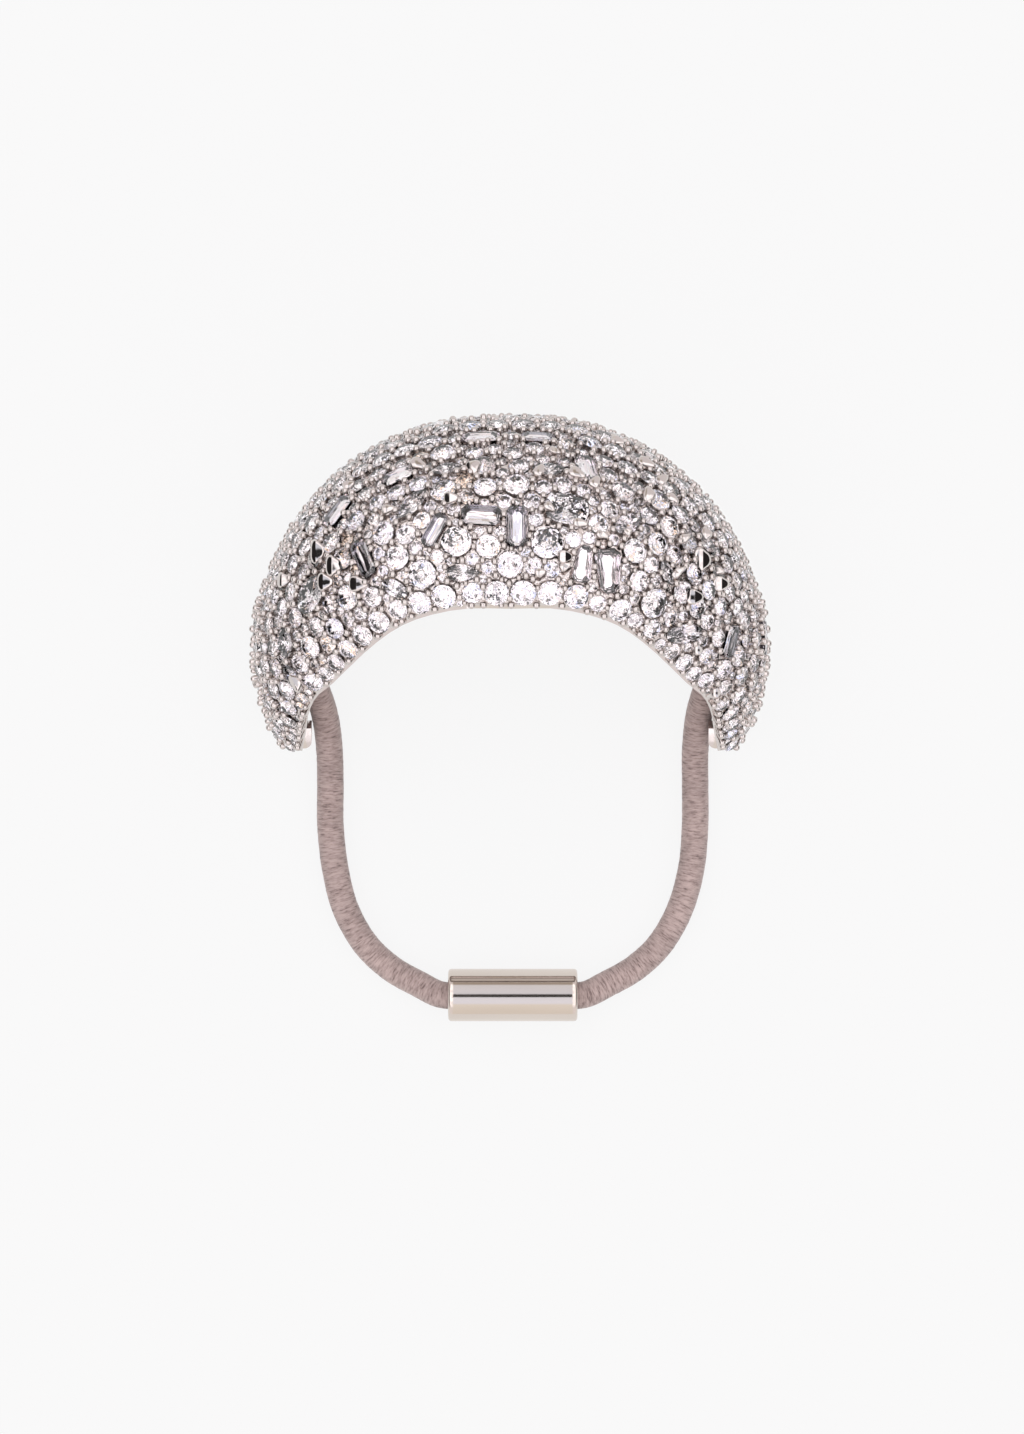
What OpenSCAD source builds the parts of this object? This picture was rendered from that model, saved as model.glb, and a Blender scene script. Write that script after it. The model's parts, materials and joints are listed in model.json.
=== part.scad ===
// Ponytail cuff: a hollow crescent dome of cast metal, set all over with clear stones,
// and a round elastic in a closed loop whose ends meet in a polished barrel.
// The cuff lies on its far edge, as it does on a table, with the near edge of the dome up.
// A section of the dome runs from the far edge, over the crown, to the near edge.

/* [Cuff] */
// Width of the opening between the two tips
opening_w = 44.8; // [40:0.1:50]
// Height of the arch above the line of the tips
arch_h = 23.9; // [21:0.1:27]
// How far the metal dome rises beyond the arch at its crown
dome_rise = 12.6; // [11:0.1:15]
// Depth of the cuff along the ponytail at its crown
crown_depth = 31; // [28:0.1:34]
// Depth that the sides narrow towards, level with the tips
side_depth = 8; // [6:0.1:10]
// Thickness of the cast wall
wall = 1.3; // [0.9:0.05:1.6]

/* [Elastic and barrel] */
// Diameter of the elastic
cord_d = 3; // [2.5:0.1:3.2]
// Outer diameter of the barrel
barrel_d = 5.7; // [4.6:0.1:6.6]
// Length of the barrel
barrel_l = 14; // [9:0.5:18]
// Bevel round each end of the barrel
barrel_bevel = 0.35; // [0.1:0.05:0.6]
// Room round the elastic in the barrel's bore
bore_room = 0.15; // [0.05:0.05:0.3]

/* [Rings and lugs inside] */
// Thickness of the wire of the rings that the elastic runs through
ring_wire = 1; // [0.7:0.1:1.4]
// Room between the elastic and the ring
ring_room = 0.35; // [0.25:0.05:0.7]
// Length of the lug inside each tip
lug_l = 2.4; // [1.6:0.1:3.2]
// Width of the lug, along the depth of the cuff
lug_w = 2; // [1.2:0.1:2.6]
// How far the lug stands in from the edge
lug_t = 1; // [0.6:0.1:1.3]

/* [Stones] */
// Width of the largest round main stone
main_d = 3.5; // [3:0.1:3.8]
// Height of the stones' girdles above the metal
girdle_lift = 0.75; // [0.65:0.05:1]
// Gap between a stone's lowest point and the metal
seat_gap = 0.12; // [0.08:0.01:0.2]
// Width of a stone's table as a share of its width
table_share = 0.56; // [0.5:0.01:0.64]
// Height of a stone's crown as a share of its width
crown_share = 0.15; // [0.11:0.01:0.19]
// Width of the largest small round stone
small_d = 2.55; // [2:0.05:2.8]
// Width below which small stones are left out
small_least_d = 1.7; // [1.5:0.05:1.9]
// Least gap between two stones
stone_gap = 0.24; // [0.14:0.01:0.4]

/* [Hidden] */
// Columns of the table of sections
ACROSS = 0;
UP = 1;
RISE = 2;
DEPTH = 3;
// Sections from the middle of the arch to a tip. across and up place the edge, as shares of half
// the opening and of the arch. rise is a share of the dome's rise at the crown. depth is what is
// left there of the even taper of depth.
sections = [
    [0.00, 1.00, 1.00, 1.00],
    [0.21, 1.00, 0.97, 1.00],
    [0.40, 0.95, 0.93, 1.00],
    [0.54, 0.87, 0.90, 1.00],
    [0.68, 0.73, 0.85, 1.00],
    [0.84, 0.53, 0.68, 1.00],
    [0.915, 0.45, 0.55, 1.00],
    [0.955, 0.345, 0.45, 0.97],
    [0.975, 0.20, 0.32, 0.85],
    [1.00, 0.045, 0.15, 0.55],
];
tip = len(sections) - 1;
// Sections and points of the metal's mesh
sections_per_side = 20;
points_across = 16;

// Columns of the chart of stones
CUT = 0;
STATION = 1;
ANGLE = 2;
TURN = 3;
LENGTH = 4;
WIDTH = 5;
// Main stones of the near side. station counts the sections from the middle, left ones negative.
// angle runs across the section, from 0 at the crown to 90 at the near edge. turn is the long
// axis against the line of the tips, seen from above. length and width are shares of main_d.
main_stones = [
    ["baguette", -3.05, 19, 58, 1.14, 0.66],
    ["marquise", -1.56, 36, 52, 1.28, 0.66],
    ["baguette", -1.26, 51, 65, 1.10, 0.46],
    ["baguette", -0.46, 47, -5, 1.22, 0.62],
    ["round", -0.92, 58, 0, 0.94, 0.94],
    ["round", -0.38, 61, 0, 0.74, 0.74],
    ["round", -2.06, 58, 0, 0.76, 0.76],
    ["round", -1.66, 69, 0, 0.88, 0.88],
    ["round", -3.50, 62, 0, 0.76, 0.76],
    ["round", -2.72, 32, 0, 0.70, 0.70],
    ["round", -0.38, 34, 0, 0.70, 0.70],
    ["round", -4.60, 64, 0, 0.74, 0.74],
    ["pear", -0.86, 72, 0, 1.06, 0.54],
    ["oval", -2.36, 71, -25, 0.88, 0.50],
    ["baguette", -2.82, 51, -55, 1.24, 0.56],
    ["oval", -4.10, 46, 35, 1.38, 0.90],
    ["oval", -4.90, 48, 80, 0.94, 0.68],
    ["marquise", -5.58, 64, -65, 1.04, 0.46],
    ["baguette", -1.72, 18, 14, 1.00, 0.58],
    ["marquise", -0.96, 22, 8, 1.00, 0.50],
    ["baguette", -0.42, 3, 0, 1.14, 0.62],
    ["round", 0.10, 33, 0, 0.80, 0.80],
    ["round", 0.64, 59, 0, 1.00, 1.00],
    ["round", 1.78, 27, 0, 0.78, 0.78],
    ["round", 2.28, 53, 0, 0.76, 0.76],
    ["round", 2.62, 65, 0, 0.64, 0.64],
    ["round", 3.20, 70, 0, 0.92, 0.92],
    ["marquise", 0.58, 24, 0, 1.10, 0.56],
    ["cushion", 0.90, 43, -10, 1.34, 1.06],
    ["baguette", 0.12, 52, 90, 1.28, 0.64],
    ["oval", 1.98, 42, 35, 1.02, 0.58],
    ["baguette", 1.14, 20, 86, 1.12, 0.64],
    ["tapered", 1.34, 66, 80, 1.12, 0.50],
    ["tapered", 1.86, 66, -85, 1.34, 0.72],
    ["oval", 4.12, 71, -8, 1.26, 0.62],
    ["marquise", 3.15, 54, -60, 0.90, 0.44],
    ["baguette", 4.82, 50, 74, 1.02, 0.50],
    ["oval", 3.70, 25, -40, 0.84, 0.54],
    ["baguette", 5.90, 12, 88, 1.14, 0.58],
    ["baguette", 0.40, 3, 0, 1.00, 0.60],
];
// Stones at least this long, as a share of main_d, are repeated on the far side, turned about
// the middle of the crown
far_least_length = 1.0;
// Stones within this angle of the crown aren't repeated
crown_band = 8;

// Where the rings sit inside the wall, and how deep they are soldered into it
ring_station = 6;
ring_angle = 0;
solder = 0.35;
// Middle of the lug along the depth, and the round of its corner
lug_middle = 0.9;
lug_round = 0.8;

// Centre line of the elastic, from the middle of the barrel by the left side, round inside the
// dome, and back by the right side
cord_points = [
    [0.1, -29.8, 2.85],
    [-3.8, -29.8, 2.85],
    [-7.3, -29.8, 2.85],
    [-9.8, -28.7, 2.1],
    [-13.0, -26.9, 1.6],
    [-15.8, -24.2, 1.6],
    [-17.9, -20.4, 1.6],
    [-19.0, -16.0, 1.6],
    [-19.5, -11.4, 1.6],
    [-19.5, -7.0, 1.8],
    [-19.6, -3.0, 2.4],
    [-20.1, 0.8, 4.0],
    [-21.4, 4.6, 6.7],
    [-23.1, 8.6, 9.3],
    [-22.9, 12.0, 10.2],
    [-19.9, 17.7, 11.6],
    [-14.8, 22.8, 12.6],
    [-10.4, 25.6, 12.8],
    [-5.4, 27.4, 12.9],
    [0, 27.9, 12.9],
    [5.4, 27.4, 12.9],
    [10.4, 25.6, 12.8],
    [14.8, 22.8, 12.6],
    [19.9, 17.7, 11.6],
    [22.9, 12.0, 10.2],
    [23.1, 8.6, 9.3],
    [21.6, 4.6, 6.7],
    [20.5, 0.8, 4.0],
    [20.1, -3.0, 2.4],
    [20.1, -7.0, 1.8],
    [20.1, -11.4, 1.6],
    [19.7, -16.0, 1.6],
    [18.5, -20.4, 1.6],
    [16.4, -24.2, 1.6],
    [13.6, -26.9, 1.6],
    [10.4, -28.7, 2.1],
    [7.9, -29.8, 2.85],
    [4.4, -29.8, 2.85],
    [0.5, -29.8, 2.85],
];
cord_sides = 8;

// The barrel lies on the surface, at the two ends of the elastic
barrel_x = (cord_points[0].x + cord_points[len(cord_points) - 1].x) / 2;
barrel_y = cord_points[0].y;
// The cuff leans until its far edge lies flat
lean = atan((crown_depth - side_depth) / 2 / arch_h);
// Highest reach of the stones over the metal
stone_reach = girdle_lift + crown_share * small_d;
// The crown stands as far up the plan as the barrel lies down it
crown_reach = arch_h * cos(lean) + norm([dome_rise * cos(lean), crown_depth / 2 * sin(lean)])
    + stone_reach;
cuff_y = -(barrel_y - barrel_d / 2) - crown_reach;
cuff_z = crown_depth / 2 * cos(lean) - arch_h * sin(lean);

function unit(v) = v / norm(v);

// One value of the table, mirrored about the middle and run on past a tip
function section_value(k, column) =
    let (a = abs(k), side = k < 0 && column == ACROSS ? -1 : 1)
    side * (a <= tip ? sections[a][column] : 2 * sections[tip][column] - sections[tip - 1][column]);

// A smooth curve through one column of the table
function along(station, column) =
    let (k = min(floor(station), tip - 1), f = station - k,
         p0 = section_value(k - 1, column), p1 = section_value(k, column),
         p2 = section_value(k + 1, column), p3 = section_value(k + 2, column))
    p1 + f / 2 * (p2 - p0 + f * (2 * p0 - 5 * p1 + 4 * p2 - p3 + f * (3 * (p1 - p2) + p3 - p0)));

function edge(station) = [opening_w / 2 * along(station, ACROSS), arch_h * along(station, UP)];
function half_depth(station) =
    (side_depth + (crown_depth - side_depth) * along(station, UP)) / 2 * along(station, DEPTH);
function rise(station) = dome_rise * along(station, RISE);

// A point of the dome, inset below its outer face
function dome(station, angle, inset = 0) =
    let (e = edge(station), out = unit(e), r = (rise(station) - inset) * cos(angle))
    [e.x + out.x * r, e.y + out.y * r, (half_depth(station) - inset) * sin(angle)];

// How the dome runs on for one more station and for one more degree
STATION_STEP = 0.02;
ANGLE_STEP = 1;
function run_along(station, angle) =
    (dome(station + STATION_STEP, angle) - dome(station - STATION_STEP, angle)) / (2 * STATION_STEP);
function run_across(station, angle) =
    (dome(station, angle + ANGLE_STEP) - dome(station, angle - ANGLE_STEP)) / (2 * ANGLE_STEP);
function outward(station, angle) = unit(cross(run_across(station, angle), run_along(station, angle)));

// A direction of the plan, in the cuff's own axes before it leans
function plan_direction(turn) = [cos(turn), sin(turn) * cos(lean), -sin(turn) * sin(lean)];

// Seat of a stone: middle of its girdle, then its long axis, short axis and outward axis
function seat(station, angle, turn) =
    let (n = outward(station, angle), d = plan_direction(turn), a = unit(d - (d * n) * n))
    [dome(station, angle) + girdle_lift * n, a, cross(n, a), n];
function seated(s, p) = s[0] + p.x * s[1] + p.y * s[2] + p.z * s[3];
// Height of a point of the leaning cuff over the surface that it lies on
function height(p) = p.y * sin(lean) + p.z * cos(lean) + cuff_z;

// Outlines of the cuts at an angle a, as shares of half the length and half the width
PEAR_TAPER = 0.9;
PEAR_WIDTH = 1.25;
CUSHION_POWER = 0.62;
function bulge(c) = sign(c) * pow(abs(c), CUSHION_POWER);
function outline(cut, a) =
    cut == "marquise" ? [cos(a), sin(a) * abs(sin(a))] :
    cut == "pear" ? [cos(a), PEAR_WIDTH * sin(a) * pow(abs(sin(a / 2)), PEAR_TAPER)] :
    cut == "cushion" ? [bulge(cos(a)), bulge(sin(a))] : [cos(a), sin(a)];
// A long step cut is a rectangle with its corners cut, narrower at one end on a tapered one
CORNER = 0.24;
TAPER = 0.22;
function step_outline(cut, l, w) =
    let (c = CORNER * w, x = l / 2, y = w / 2, t = cut == "tapered" ? TAPER : 0)
    [for (p = [[x, -y + c], [x, y - c], [x - c, y], [c - x, y],
               [-x, y - c], [-x, c - y], [c - x, -y], [x - c, -y]])
        [p.x, p.y * (1 - t * p.x / x)]];
function is_step(cut) = cut == "baguette" || cut == "tapered";

// Brilliant cut. Rings of points, from the table down: table, star tips, girdle, lower tips, culet
MAINS = 8;
STAR = 0.76;
LOWER = 0.4;
function ring(cut, l, w, n, from, share, z) =
    [for (i = [0:n - 1]) let (o = outline(cut, from + i * 360 / n))
        [share * l / 2 * o.x, share * w / 2 * o.y, z]];
function brilliant_points(cut, l, w, below) =
    let (half = 180 / MAINS, c = crown_share * w)
    concat(ring(cut, l, w, MAINS, 0, table_share, c),
           ring(cut, l, w, MAINS, half, STAR, c * (1 - STAR * cos(half)) / (1 - table_share)),
           ring(cut, l, w, 2 * MAINS, 0, 1, 0),
           ring(cut, l, w, MAINS, half, LOWER, -below * (1 - LOWER * cos(half))),
           [[0, 0, -below]]);
brilliant_faces =
    let (star = MAINS, girdle = 2 * MAINS, lower = 4 * MAINS, culet = 5 * MAINS)
    concat([[for (i = [MAINS - 1:-1:0]) i]],
        [for (i = [0:MAINS - 1])
            let (j = (i + 1) % MAINS, g = girdle + 2 * i, h = girdle + 2 * i + 1, k = girdle + 2 * j)
            each [[i, j, star + i], [i, star + i, g], [j, k, star + i],
                  [star + i, h, g], [star + i, k, h],
                  [g, h, lower + i], [h, k, lower + i],
                  [g, lower + i, culet], [lower + i, k, culet]]]);

// Step cut. Rings of points, from the table down: table, step, girdle, keel
STEP_SIDES = 8;
STEP_SHARE = 0.5;
KEEL = 0.55;
function inset_ring(points, l, w, d, z) =
    [for (p = points) [p.x * (1 - 2 * d / l), p.y * (1 - 2 * d / w), z]];
function step_points(cut, l, w, below) =
    let (o = step_outline(cut, l, w), c = crown_share * w, d = (1 - table_share) / 2 * w)
    concat(inset_ring(o, l, w, d, c),
           inset_ring(o, l, w, d * STEP_SHARE, c * (STEP_SHARE + 1) / 2),
           inset_ring(o, l, w, 0, 0),
           inset_ring(o, l, w, KEEL * w / 2, -below));
step_faces = let (n = STEP_SIDES)
    concat([[for (i = [n - 1:-1:0]) i]],
        [for (r = [0:2], i = [0:n - 1]) let (j = (i + 1) % n)
            [n * r + i, n * r + j, n * r + j + n, n * r + i + n]],
        [[for (i = [3 * n:4 * n - 1]) i]]);

// Depth of a stone below its girdle: as deep as the seat lets it be
CUT_DEPTH = 0.43;
function below(w) = min(CUT_DEPTH * w, girdle_lift - seat_gap);
function stone_points(cut, l, w) =
    is_step(cut) ? step_points(cut, l, w, below(w)) : brilliant_points(cut, l, w, below(w));
function stone_faces(cut) = is_step(cut) ? step_faces : brilliant_faces;

// Simple brilliant for the small stones: table, girdle and culet
SMALL_SIDES = 8;
function small_points(w) =
    concat(ring("round", w, w, SMALL_SIDES, 0, table_share, crown_share * w),
           ring("round", w, w, SMALL_SIDES, 0, 1, 0), [[0, 0, -below(w)]]);
small_faces = concat([[for (i = [SMALL_SIDES - 1:-1:0]) i]],
    [for (i = [0:SMALL_SIDES - 1]) let (j = (i + 1) % SMALL_SIDES, n = SMALL_SIDES)
        each [[i, j, j + n, i + n], [i + n, j + n, 2 * n]]]);

function placed(s, points) = [for (p = points) seated(s, p)];
function shifted(faces, by) = [for (f = faces) [for (i = f) i + by]];

// The main stones' rows with real lengths, and their seats
function main_l(row) = row[LENGTH] * main_d;
function main_w(row) = row[WIDTH] * main_d;
main_seats = [for (r = main_stones) seat(r[STATION], r[ANGLE], r[TURN])];
far_rows = [for (r = main_stones) if (r[LENGTH] >= far_least_length && r[ANGLE] > crown_band) r];
far_seats = [for (r = far_rows) seat(-r[STATION], -r[ANGLE], -r[TURN])];
all_rows = concat(main_stones, far_rows);
all_seats = concat(main_seats, far_seats);

// Rows of small stones, from the near edge over the crown to the far edge. Each row is an angle.
// A stone is as wide as the gap to the next row leaves it.
ROW_PITCH = small_d + stone_gap;
// How far the first row lies from the near edge, as a share of the pitch, and the last row's angle
FIRST_ROW = 0.68;
FAR_ROW = -78;
function row_step(angle) = ROW_PITCH / norm(run_across(0, angle));
function rows_from(angle) =
    angle < FAR_ROW ? [] : concat([angle], rows_from(angle - row_step(angle)));
row_angles = rows_from(90 - FIRST_ROW * row_step(90));
function room_at(station, angle) =
    min(ROW_PITCH, norm(run_across(station, angle)) * row_step(angle)) - stone_gap;
// No row runs further towards a tip than this
LAST_STATION = 8.7;
function stations_from(station, angle, side) =
    abs(station) > LAST_STATION ? [] :
    let (room = room_at(station, angle), step = (room + stone_gap) / norm(run_along(station, angle)))
    concat([[station, angle, room]], stations_from(station + side * step, angle, side));
function row_stones(k) =
    let (angle = row_angles[k], half = ROW_PITCH / 2 / norm(run_along(0, angle)),
         start = k % 2 == 0 ? half : 0)
    concat(stations_from(start, angle, 1),
           [for (s = stations_from(-start, angle, -1)) if (k % 2 == 0 || s[0] < 0) s]);

// A small stone is left out where a main stone lies. The powers say how square the room round a
// main stone is.
ROUND_POWER = 2.2;
STEP_POWER = 5;
function clear_of(s, row, p, r) =
    let (d = p - s[0], power = is_step(row[CUT]) ? STEP_POWER : ROUND_POWER,
         a = abs(d * s[1]) / (main_l(row) / 2 + r + stone_gap),
         b = abs(d * s[2]) / (main_w(row) / 2 + r + stone_gap))
    norm(d) > main_l(row) + small_d || pow(a, power) + pow(b, power) > 1;
function misses(p, r) =
    len([for (i = [0:len(all_rows) - 1]) if (!clear_of(all_seats[i], all_rows[i], p, r)) 1]) == 0;
// Least room between a small stone and the surface that the cuff lies on
FLOOR_ROOM = 0.5;
small_stones = [for (k = [0:len(row_angles) - 1], c = row_stones(k))
    let (s = seat(c[0], c[1], 0), w = c[2])
    if (w >= small_least_d && height(s[0]) > w / 2 + FLOOR_ROOM && misses(s[0], w / 2)) [s, w]];

// Points of the metal's mesh: outer face, then inner face
section_count = 2 * sections_per_side + 1;
row_length = points_across + 1;
function face_points(inset) = [for (i = [0:section_count - 1], j = [0:points_across])
    dome((i / sections_per_side - 1) * tip, (j / points_across * 2 - 1) * 90, inset)];
INNER = section_count * row_length;
function at(i, j) = i * row_length + j;
shell_faces = concat(
    [for (i = [0:section_count - 2], j = [0:points_across - 1])
        each [[at(i, j), at(i + 1, j), at(i + 1, j + 1)], [at(i, j), at(i + 1, j + 1), at(i, j + 1)]]],
    [for (i = [0:section_count - 2], j = [0:points_across - 1])
        each [[INNER + at(i, j), INNER + at(i + 1, j + 1), INNER + at(i + 1, j)],
              [INNER + at(i, j), INNER + at(i, j + 1), INNER + at(i + 1, j + 1)]]],
    [for (i = [0:section_count - 2], j = [0, points_across])
        let (a = at(i, j), b = at(i + 1, j), flip = j == 0)
        each flip ? [[a, INNER + b, b], [a, INNER + a, INNER + b]]
                  : [[a, b, INNER + b], [a, INNER + b, INNER + a]]],
    [for (j = [0:points_across - 1], i = [0, section_count - 1])
        let (a = at(i, j), b = at(i, j + 1), flip = i != 0)
        each flip ? [[a, INNER + b, b], [a, INNER + a, INNER + b]]
                  : [[a, b, INNER + b], [a, INNER + b, INNER + a]]]);

// Sides of the round shapes
RING_SIDES = 32;
WIRE_SIDES = 16;
LUG_SIDES = 32;
BARREL_SIDES = 64;

// Places what is drawn in the cuff's own axes where the cuff lies
module lying() {
    translate([0, cuff_y, cuff_z]) rotate([lean, 0, 0]) children();
}

// Ring soldered to the inner face of the wall, round the elastic
module cord_ring() {
    radius = cord_d / 2 + ring_room + ring_wire / 2;
    n = outward(ring_station, ring_angle);
    t = unit(run_along(ring_station, ring_angle));
    middle = dome(ring_station, ring_angle, wall) - (radius + ring_wire / 2 - solder) * n;
    side = cross(t, n);
    multmatrix([[n.x, side.x, t.x, middle.x], [n.y, side.y, t.y, middle.y], [n.z, side.z, t.z, middle.z]])
        rotate_extrude($fn = RING_SIDES) translate([radius, 0]) circle(d = ring_wire, $fn = WIRE_SIDES);
}

// Lug that closes the inside of a tip
module tip_lug() {
    e = edge(tip);
    x = e.x - lug_t;
    w = lug_t + rise(tip) / 2;
    translate([x, e.y, lug_middle - lug_w / 2]) linear_extrude(lug_w) {
        translate([lug_round, 0]) square([w - lug_round, lug_l]);
        translate([0, lug_round]) square([w, lug_l - lug_round]);
        translate([lug_round, lug_round]) circle(lug_round, $fn = LUG_SIDES);
    }
}

module cuff_shell() {
    color("silver") lying() {
        polyhedron(concat(face_points(0), face_points(wall)), shell_faces, convexity = 6);
        for (side = [0, 1]) mirror([side, 0, 0]) {
            cord_ring();
            tip_lug();
        }
    }
}

// One main stone of the near side
module main_stone(i) {
    row = main_stones[i];
    color("lavender") lying()
        polyhedron(placed(main_seats[i], stone_points(row[CUT], main_l(row), main_w(row))),
                   stone_faces(row[CUT]), convexity = 2);
}

// A field of loose stones as one polyhedron: lists of points and of faces, one entry for a stone
module stone_field(points, faces) {
    starts = [for (i = 0, n = 0; i < len(points); n = n + len(points[i]), i = i + 1) n];
    polyhedron([for (p = points) each p],
               [for (i = [0:len(points) - 1]) each shifted(faces[i], starts[i])], convexity = 6);
}

// Larger stones of the far side
module far_stones() {
    color("lavender") lying()
        stone_field([for (i = [0:len(far_rows) - 1])
                        placed(far_seats[i],
                               stone_points(far_rows[i][CUT], main_l(far_rows[i]), main_w(far_rows[i])))],
                    [for (r = far_rows) stone_faces(r[CUT])]);
}

// Small round stones between the larger ones
module small_stone_field() {
    color("white") lying()
        stone_field([for (s = small_stones) placed(s[0], small_points(s[1]))],
                    [for (s = small_stones) small_faces]);
}

// Elastic, swept along its centre line
module elastic_cord() {
    count = len(cord_points);
    way = [for (i = [0:count - 1])
        unit(cord_points[min(i + 1, count - 1)] - cord_points[max(i - 1, 0)])];
    points = [for (i = [0:count - 1])
        let (b = unit(cross(way[i], [0, 0, 1])), c = cross(b, way[i]))
        for (k = [0:cord_sides - 1]) let (a = (k + 0.5) * 360 / cord_sides)
            cord_points[i] + cord_d / 2 * (cos(a) * b + sin(a) * c)];
    faces = concat([[for (k = [cord_sides - 1:-1:0]) k]],
        [for (i = [0:count - 2], k = [0:cord_sides - 1])
            let (a = i * cord_sides + k, b = i * cord_sides + (k + 1) % cord_sides)
            each [[a, b, b + cord_sides], [a, b + cord_sides, a + cord_sides]]],
        [[for (k = [0:cord_sides - 1]) (count - 1) * cord_sides + k]]);
    color("rosybrown") polyhedron(points, faces, convexity = 6);
}

// Barrel, turned with a bevel at each end and bored for the elastic
module barrel() {
    bore = cord_d / 2 + bore_room;
    half = barrel_l / 2;
    radius = barrel_d / 2;
    color("gainsboro") translate([barrel_x, barrel_y, radius]) rotate([0, 90, 0])
        rotate_extrude($fn = BARREL_SIDES) polygon([
            [bore, -half], [radius - barrel_bevel, -half], [radius, barrel_bevel - half],
            [radius, half - barrel_bevel], [radius - barrel_bevel, half], [bore, half]]);
}

function stone_name(i) = str("stone_", i < 9 ? "0" : "", i + 1, "_", main_stones[i][CUT]);

cuff_shell();
elastic_cord();
barrel();
small_stone_field();
far_stones();
for (i = [0:len(main_stones) - 1])
    main_stone(i);
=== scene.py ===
import json
import math

import bmesh
import bpy
import numpy as np
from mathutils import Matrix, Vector, geometry
from mathutils.bvhtree import BVHTree
from mathutils.kdtree import KDTree


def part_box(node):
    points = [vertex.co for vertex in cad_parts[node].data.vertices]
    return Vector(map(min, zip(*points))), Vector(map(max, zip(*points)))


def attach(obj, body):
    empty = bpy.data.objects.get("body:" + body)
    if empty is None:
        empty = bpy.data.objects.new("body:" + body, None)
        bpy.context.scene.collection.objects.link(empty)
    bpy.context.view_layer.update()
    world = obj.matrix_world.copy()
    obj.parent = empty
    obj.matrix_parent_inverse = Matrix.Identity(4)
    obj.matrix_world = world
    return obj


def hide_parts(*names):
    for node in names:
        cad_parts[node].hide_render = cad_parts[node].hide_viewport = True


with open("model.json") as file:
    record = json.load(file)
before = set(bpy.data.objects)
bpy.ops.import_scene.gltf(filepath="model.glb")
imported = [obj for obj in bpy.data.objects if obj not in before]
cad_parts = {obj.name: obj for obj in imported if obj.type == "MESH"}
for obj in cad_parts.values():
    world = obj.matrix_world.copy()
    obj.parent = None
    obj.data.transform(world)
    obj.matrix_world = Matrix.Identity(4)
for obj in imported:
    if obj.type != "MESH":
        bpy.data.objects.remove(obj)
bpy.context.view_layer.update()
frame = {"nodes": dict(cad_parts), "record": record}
cad = frame["nodes"]

# Camera. The cuff lies on a table and is seen from straight above through a long lens, so that
# its near edge and the table hardly differ in scale.
MM = 0.001
PHOTO_WIDE = 1024
PHOTO_HIGH = 1434
PIXELS_PER_MM = 9.3
SCALE_HEIGHT = 8 * MM
CAMERA_PLACE = Vector((0.215 * MM, 0.33 * MM, 650 * MM))
SENSOR_HIGH = 36.0

lens = bpy.data.cameras.new("camera")
lens.sensor_fit = "VERTICAL"
lens.sensor_height = SENSOR_HIGH
lens.lens = SENSOR_HIGH * (CAMERA_PLACE.z - SCALE_HEIGHT) / (PHOTO_HIGH / PIXELS_PER_MM * MM)
lens.clip_start = 1 * MM
camera = bpy.data.objects.new("camera", lens)
camera.location = CAMERA_PLACE
bpy.context.scene.collection.objects.link(camera)
bpy.context.scene.camera = camera

# Elastic. One round cord of rubber threads in a mauve-taupe knit cover, in a closed loop: it runs
# inside the dome through two soldered rings, and both its ends are glued into the barrel.
ELASTIC_WIDTH = 3 * MM
ELASTIC_SIDES = 28
ELASTIC_RING = 0.25 * MM
WRINKLE_DEPTH = 0.10 * MM
WRINKLE_SCALE = (0.8 / MM, 0.8 / MM, 2.6 / MM)
YARN_SCALE = (1.1 / MM, 1.1 / MM, 5.5 / MM)
YARN_RELIEF = 0.06 * MM
YARN_COLOURS = [(0.30, (0.165, 0.117, 0.108)), (0.45, (0.365, 0.280, 0.260)), (0.62, (0.490, 0.385, 0.360))]
PATCH_SCALE = 0.35 / MM
ROUTE = [
    (0.1, -29.8, 2.85),
    (-3.8, -29.8, 2.85),
    (-7.3, -29.8, 2.85),
    (-9.8, -28.7, 2.1),
    (-13.0, -26.9, 1.6),
    (-15.8, -24.2, 1.6),
    (-17.9, -20.4, 1.6),
    (-19.0, -16.0, 1.6),
    (-19.5, -11.4, 1.6),
    (-19.5, -7.0, 1.8),
    (-19.6, -3.0, 2.4),
    (-20.1, 0.8, 4.0),
    (-21.4, 4.6, 6.7),
    (-23.1, 8.6, 9.3),
    (-22.9, 12.0, 10.2),
    (-19.9, 17.7, 11.6),
    (-14.8, 22.8, 12.6),
    (-10.4, 25.6, 12.8),
    (-5.4, 27.4, 12.9),
    (0, 27.9, 12.9),
    (5.4, 27.4, 12.9),
    (10.4, 25.6, 12.8),
    (14.8, 22.8, 12.6),
    (19.9, 17.7, 11.6),
    (22.9, 12.0, 10.2),
    (23.1, 8.6, 9.3),
    (21.6, 4.6, 6.7),
    (20.5, 0.8, 4.0),
    (20.1, -3.0, 2.4),
    (20.1, -7.0, 1.8),
    (20.1, -11.4, 1.6),
    (19.7, -16.0, 1.6),
    (18.5, -20.4, 1.6),
    (16.4, -24.2, 1.6),
    (13.6, -26.9, 1.6),
    (10.4, -28.7, 2.1),
    (7.9, -29.8, 2.85),
    (4.4, -29.8, 2.85),
    (0.5, -29.8, 2.85),
]
elastic_path = [tuple(value * MM for value in point) for point in ROUTE]


def feed(node, inputs):
    """Gives a node its inputs. They map a socket's name or number to a value or to an output."""
    for key, value in inputs.items():
        if isinstance(value, bpy.types.NodeSocket):
            node.id_data.links.new(value, node.inputs[key])
        else:
            node.inputs[key].default_value = value


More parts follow.
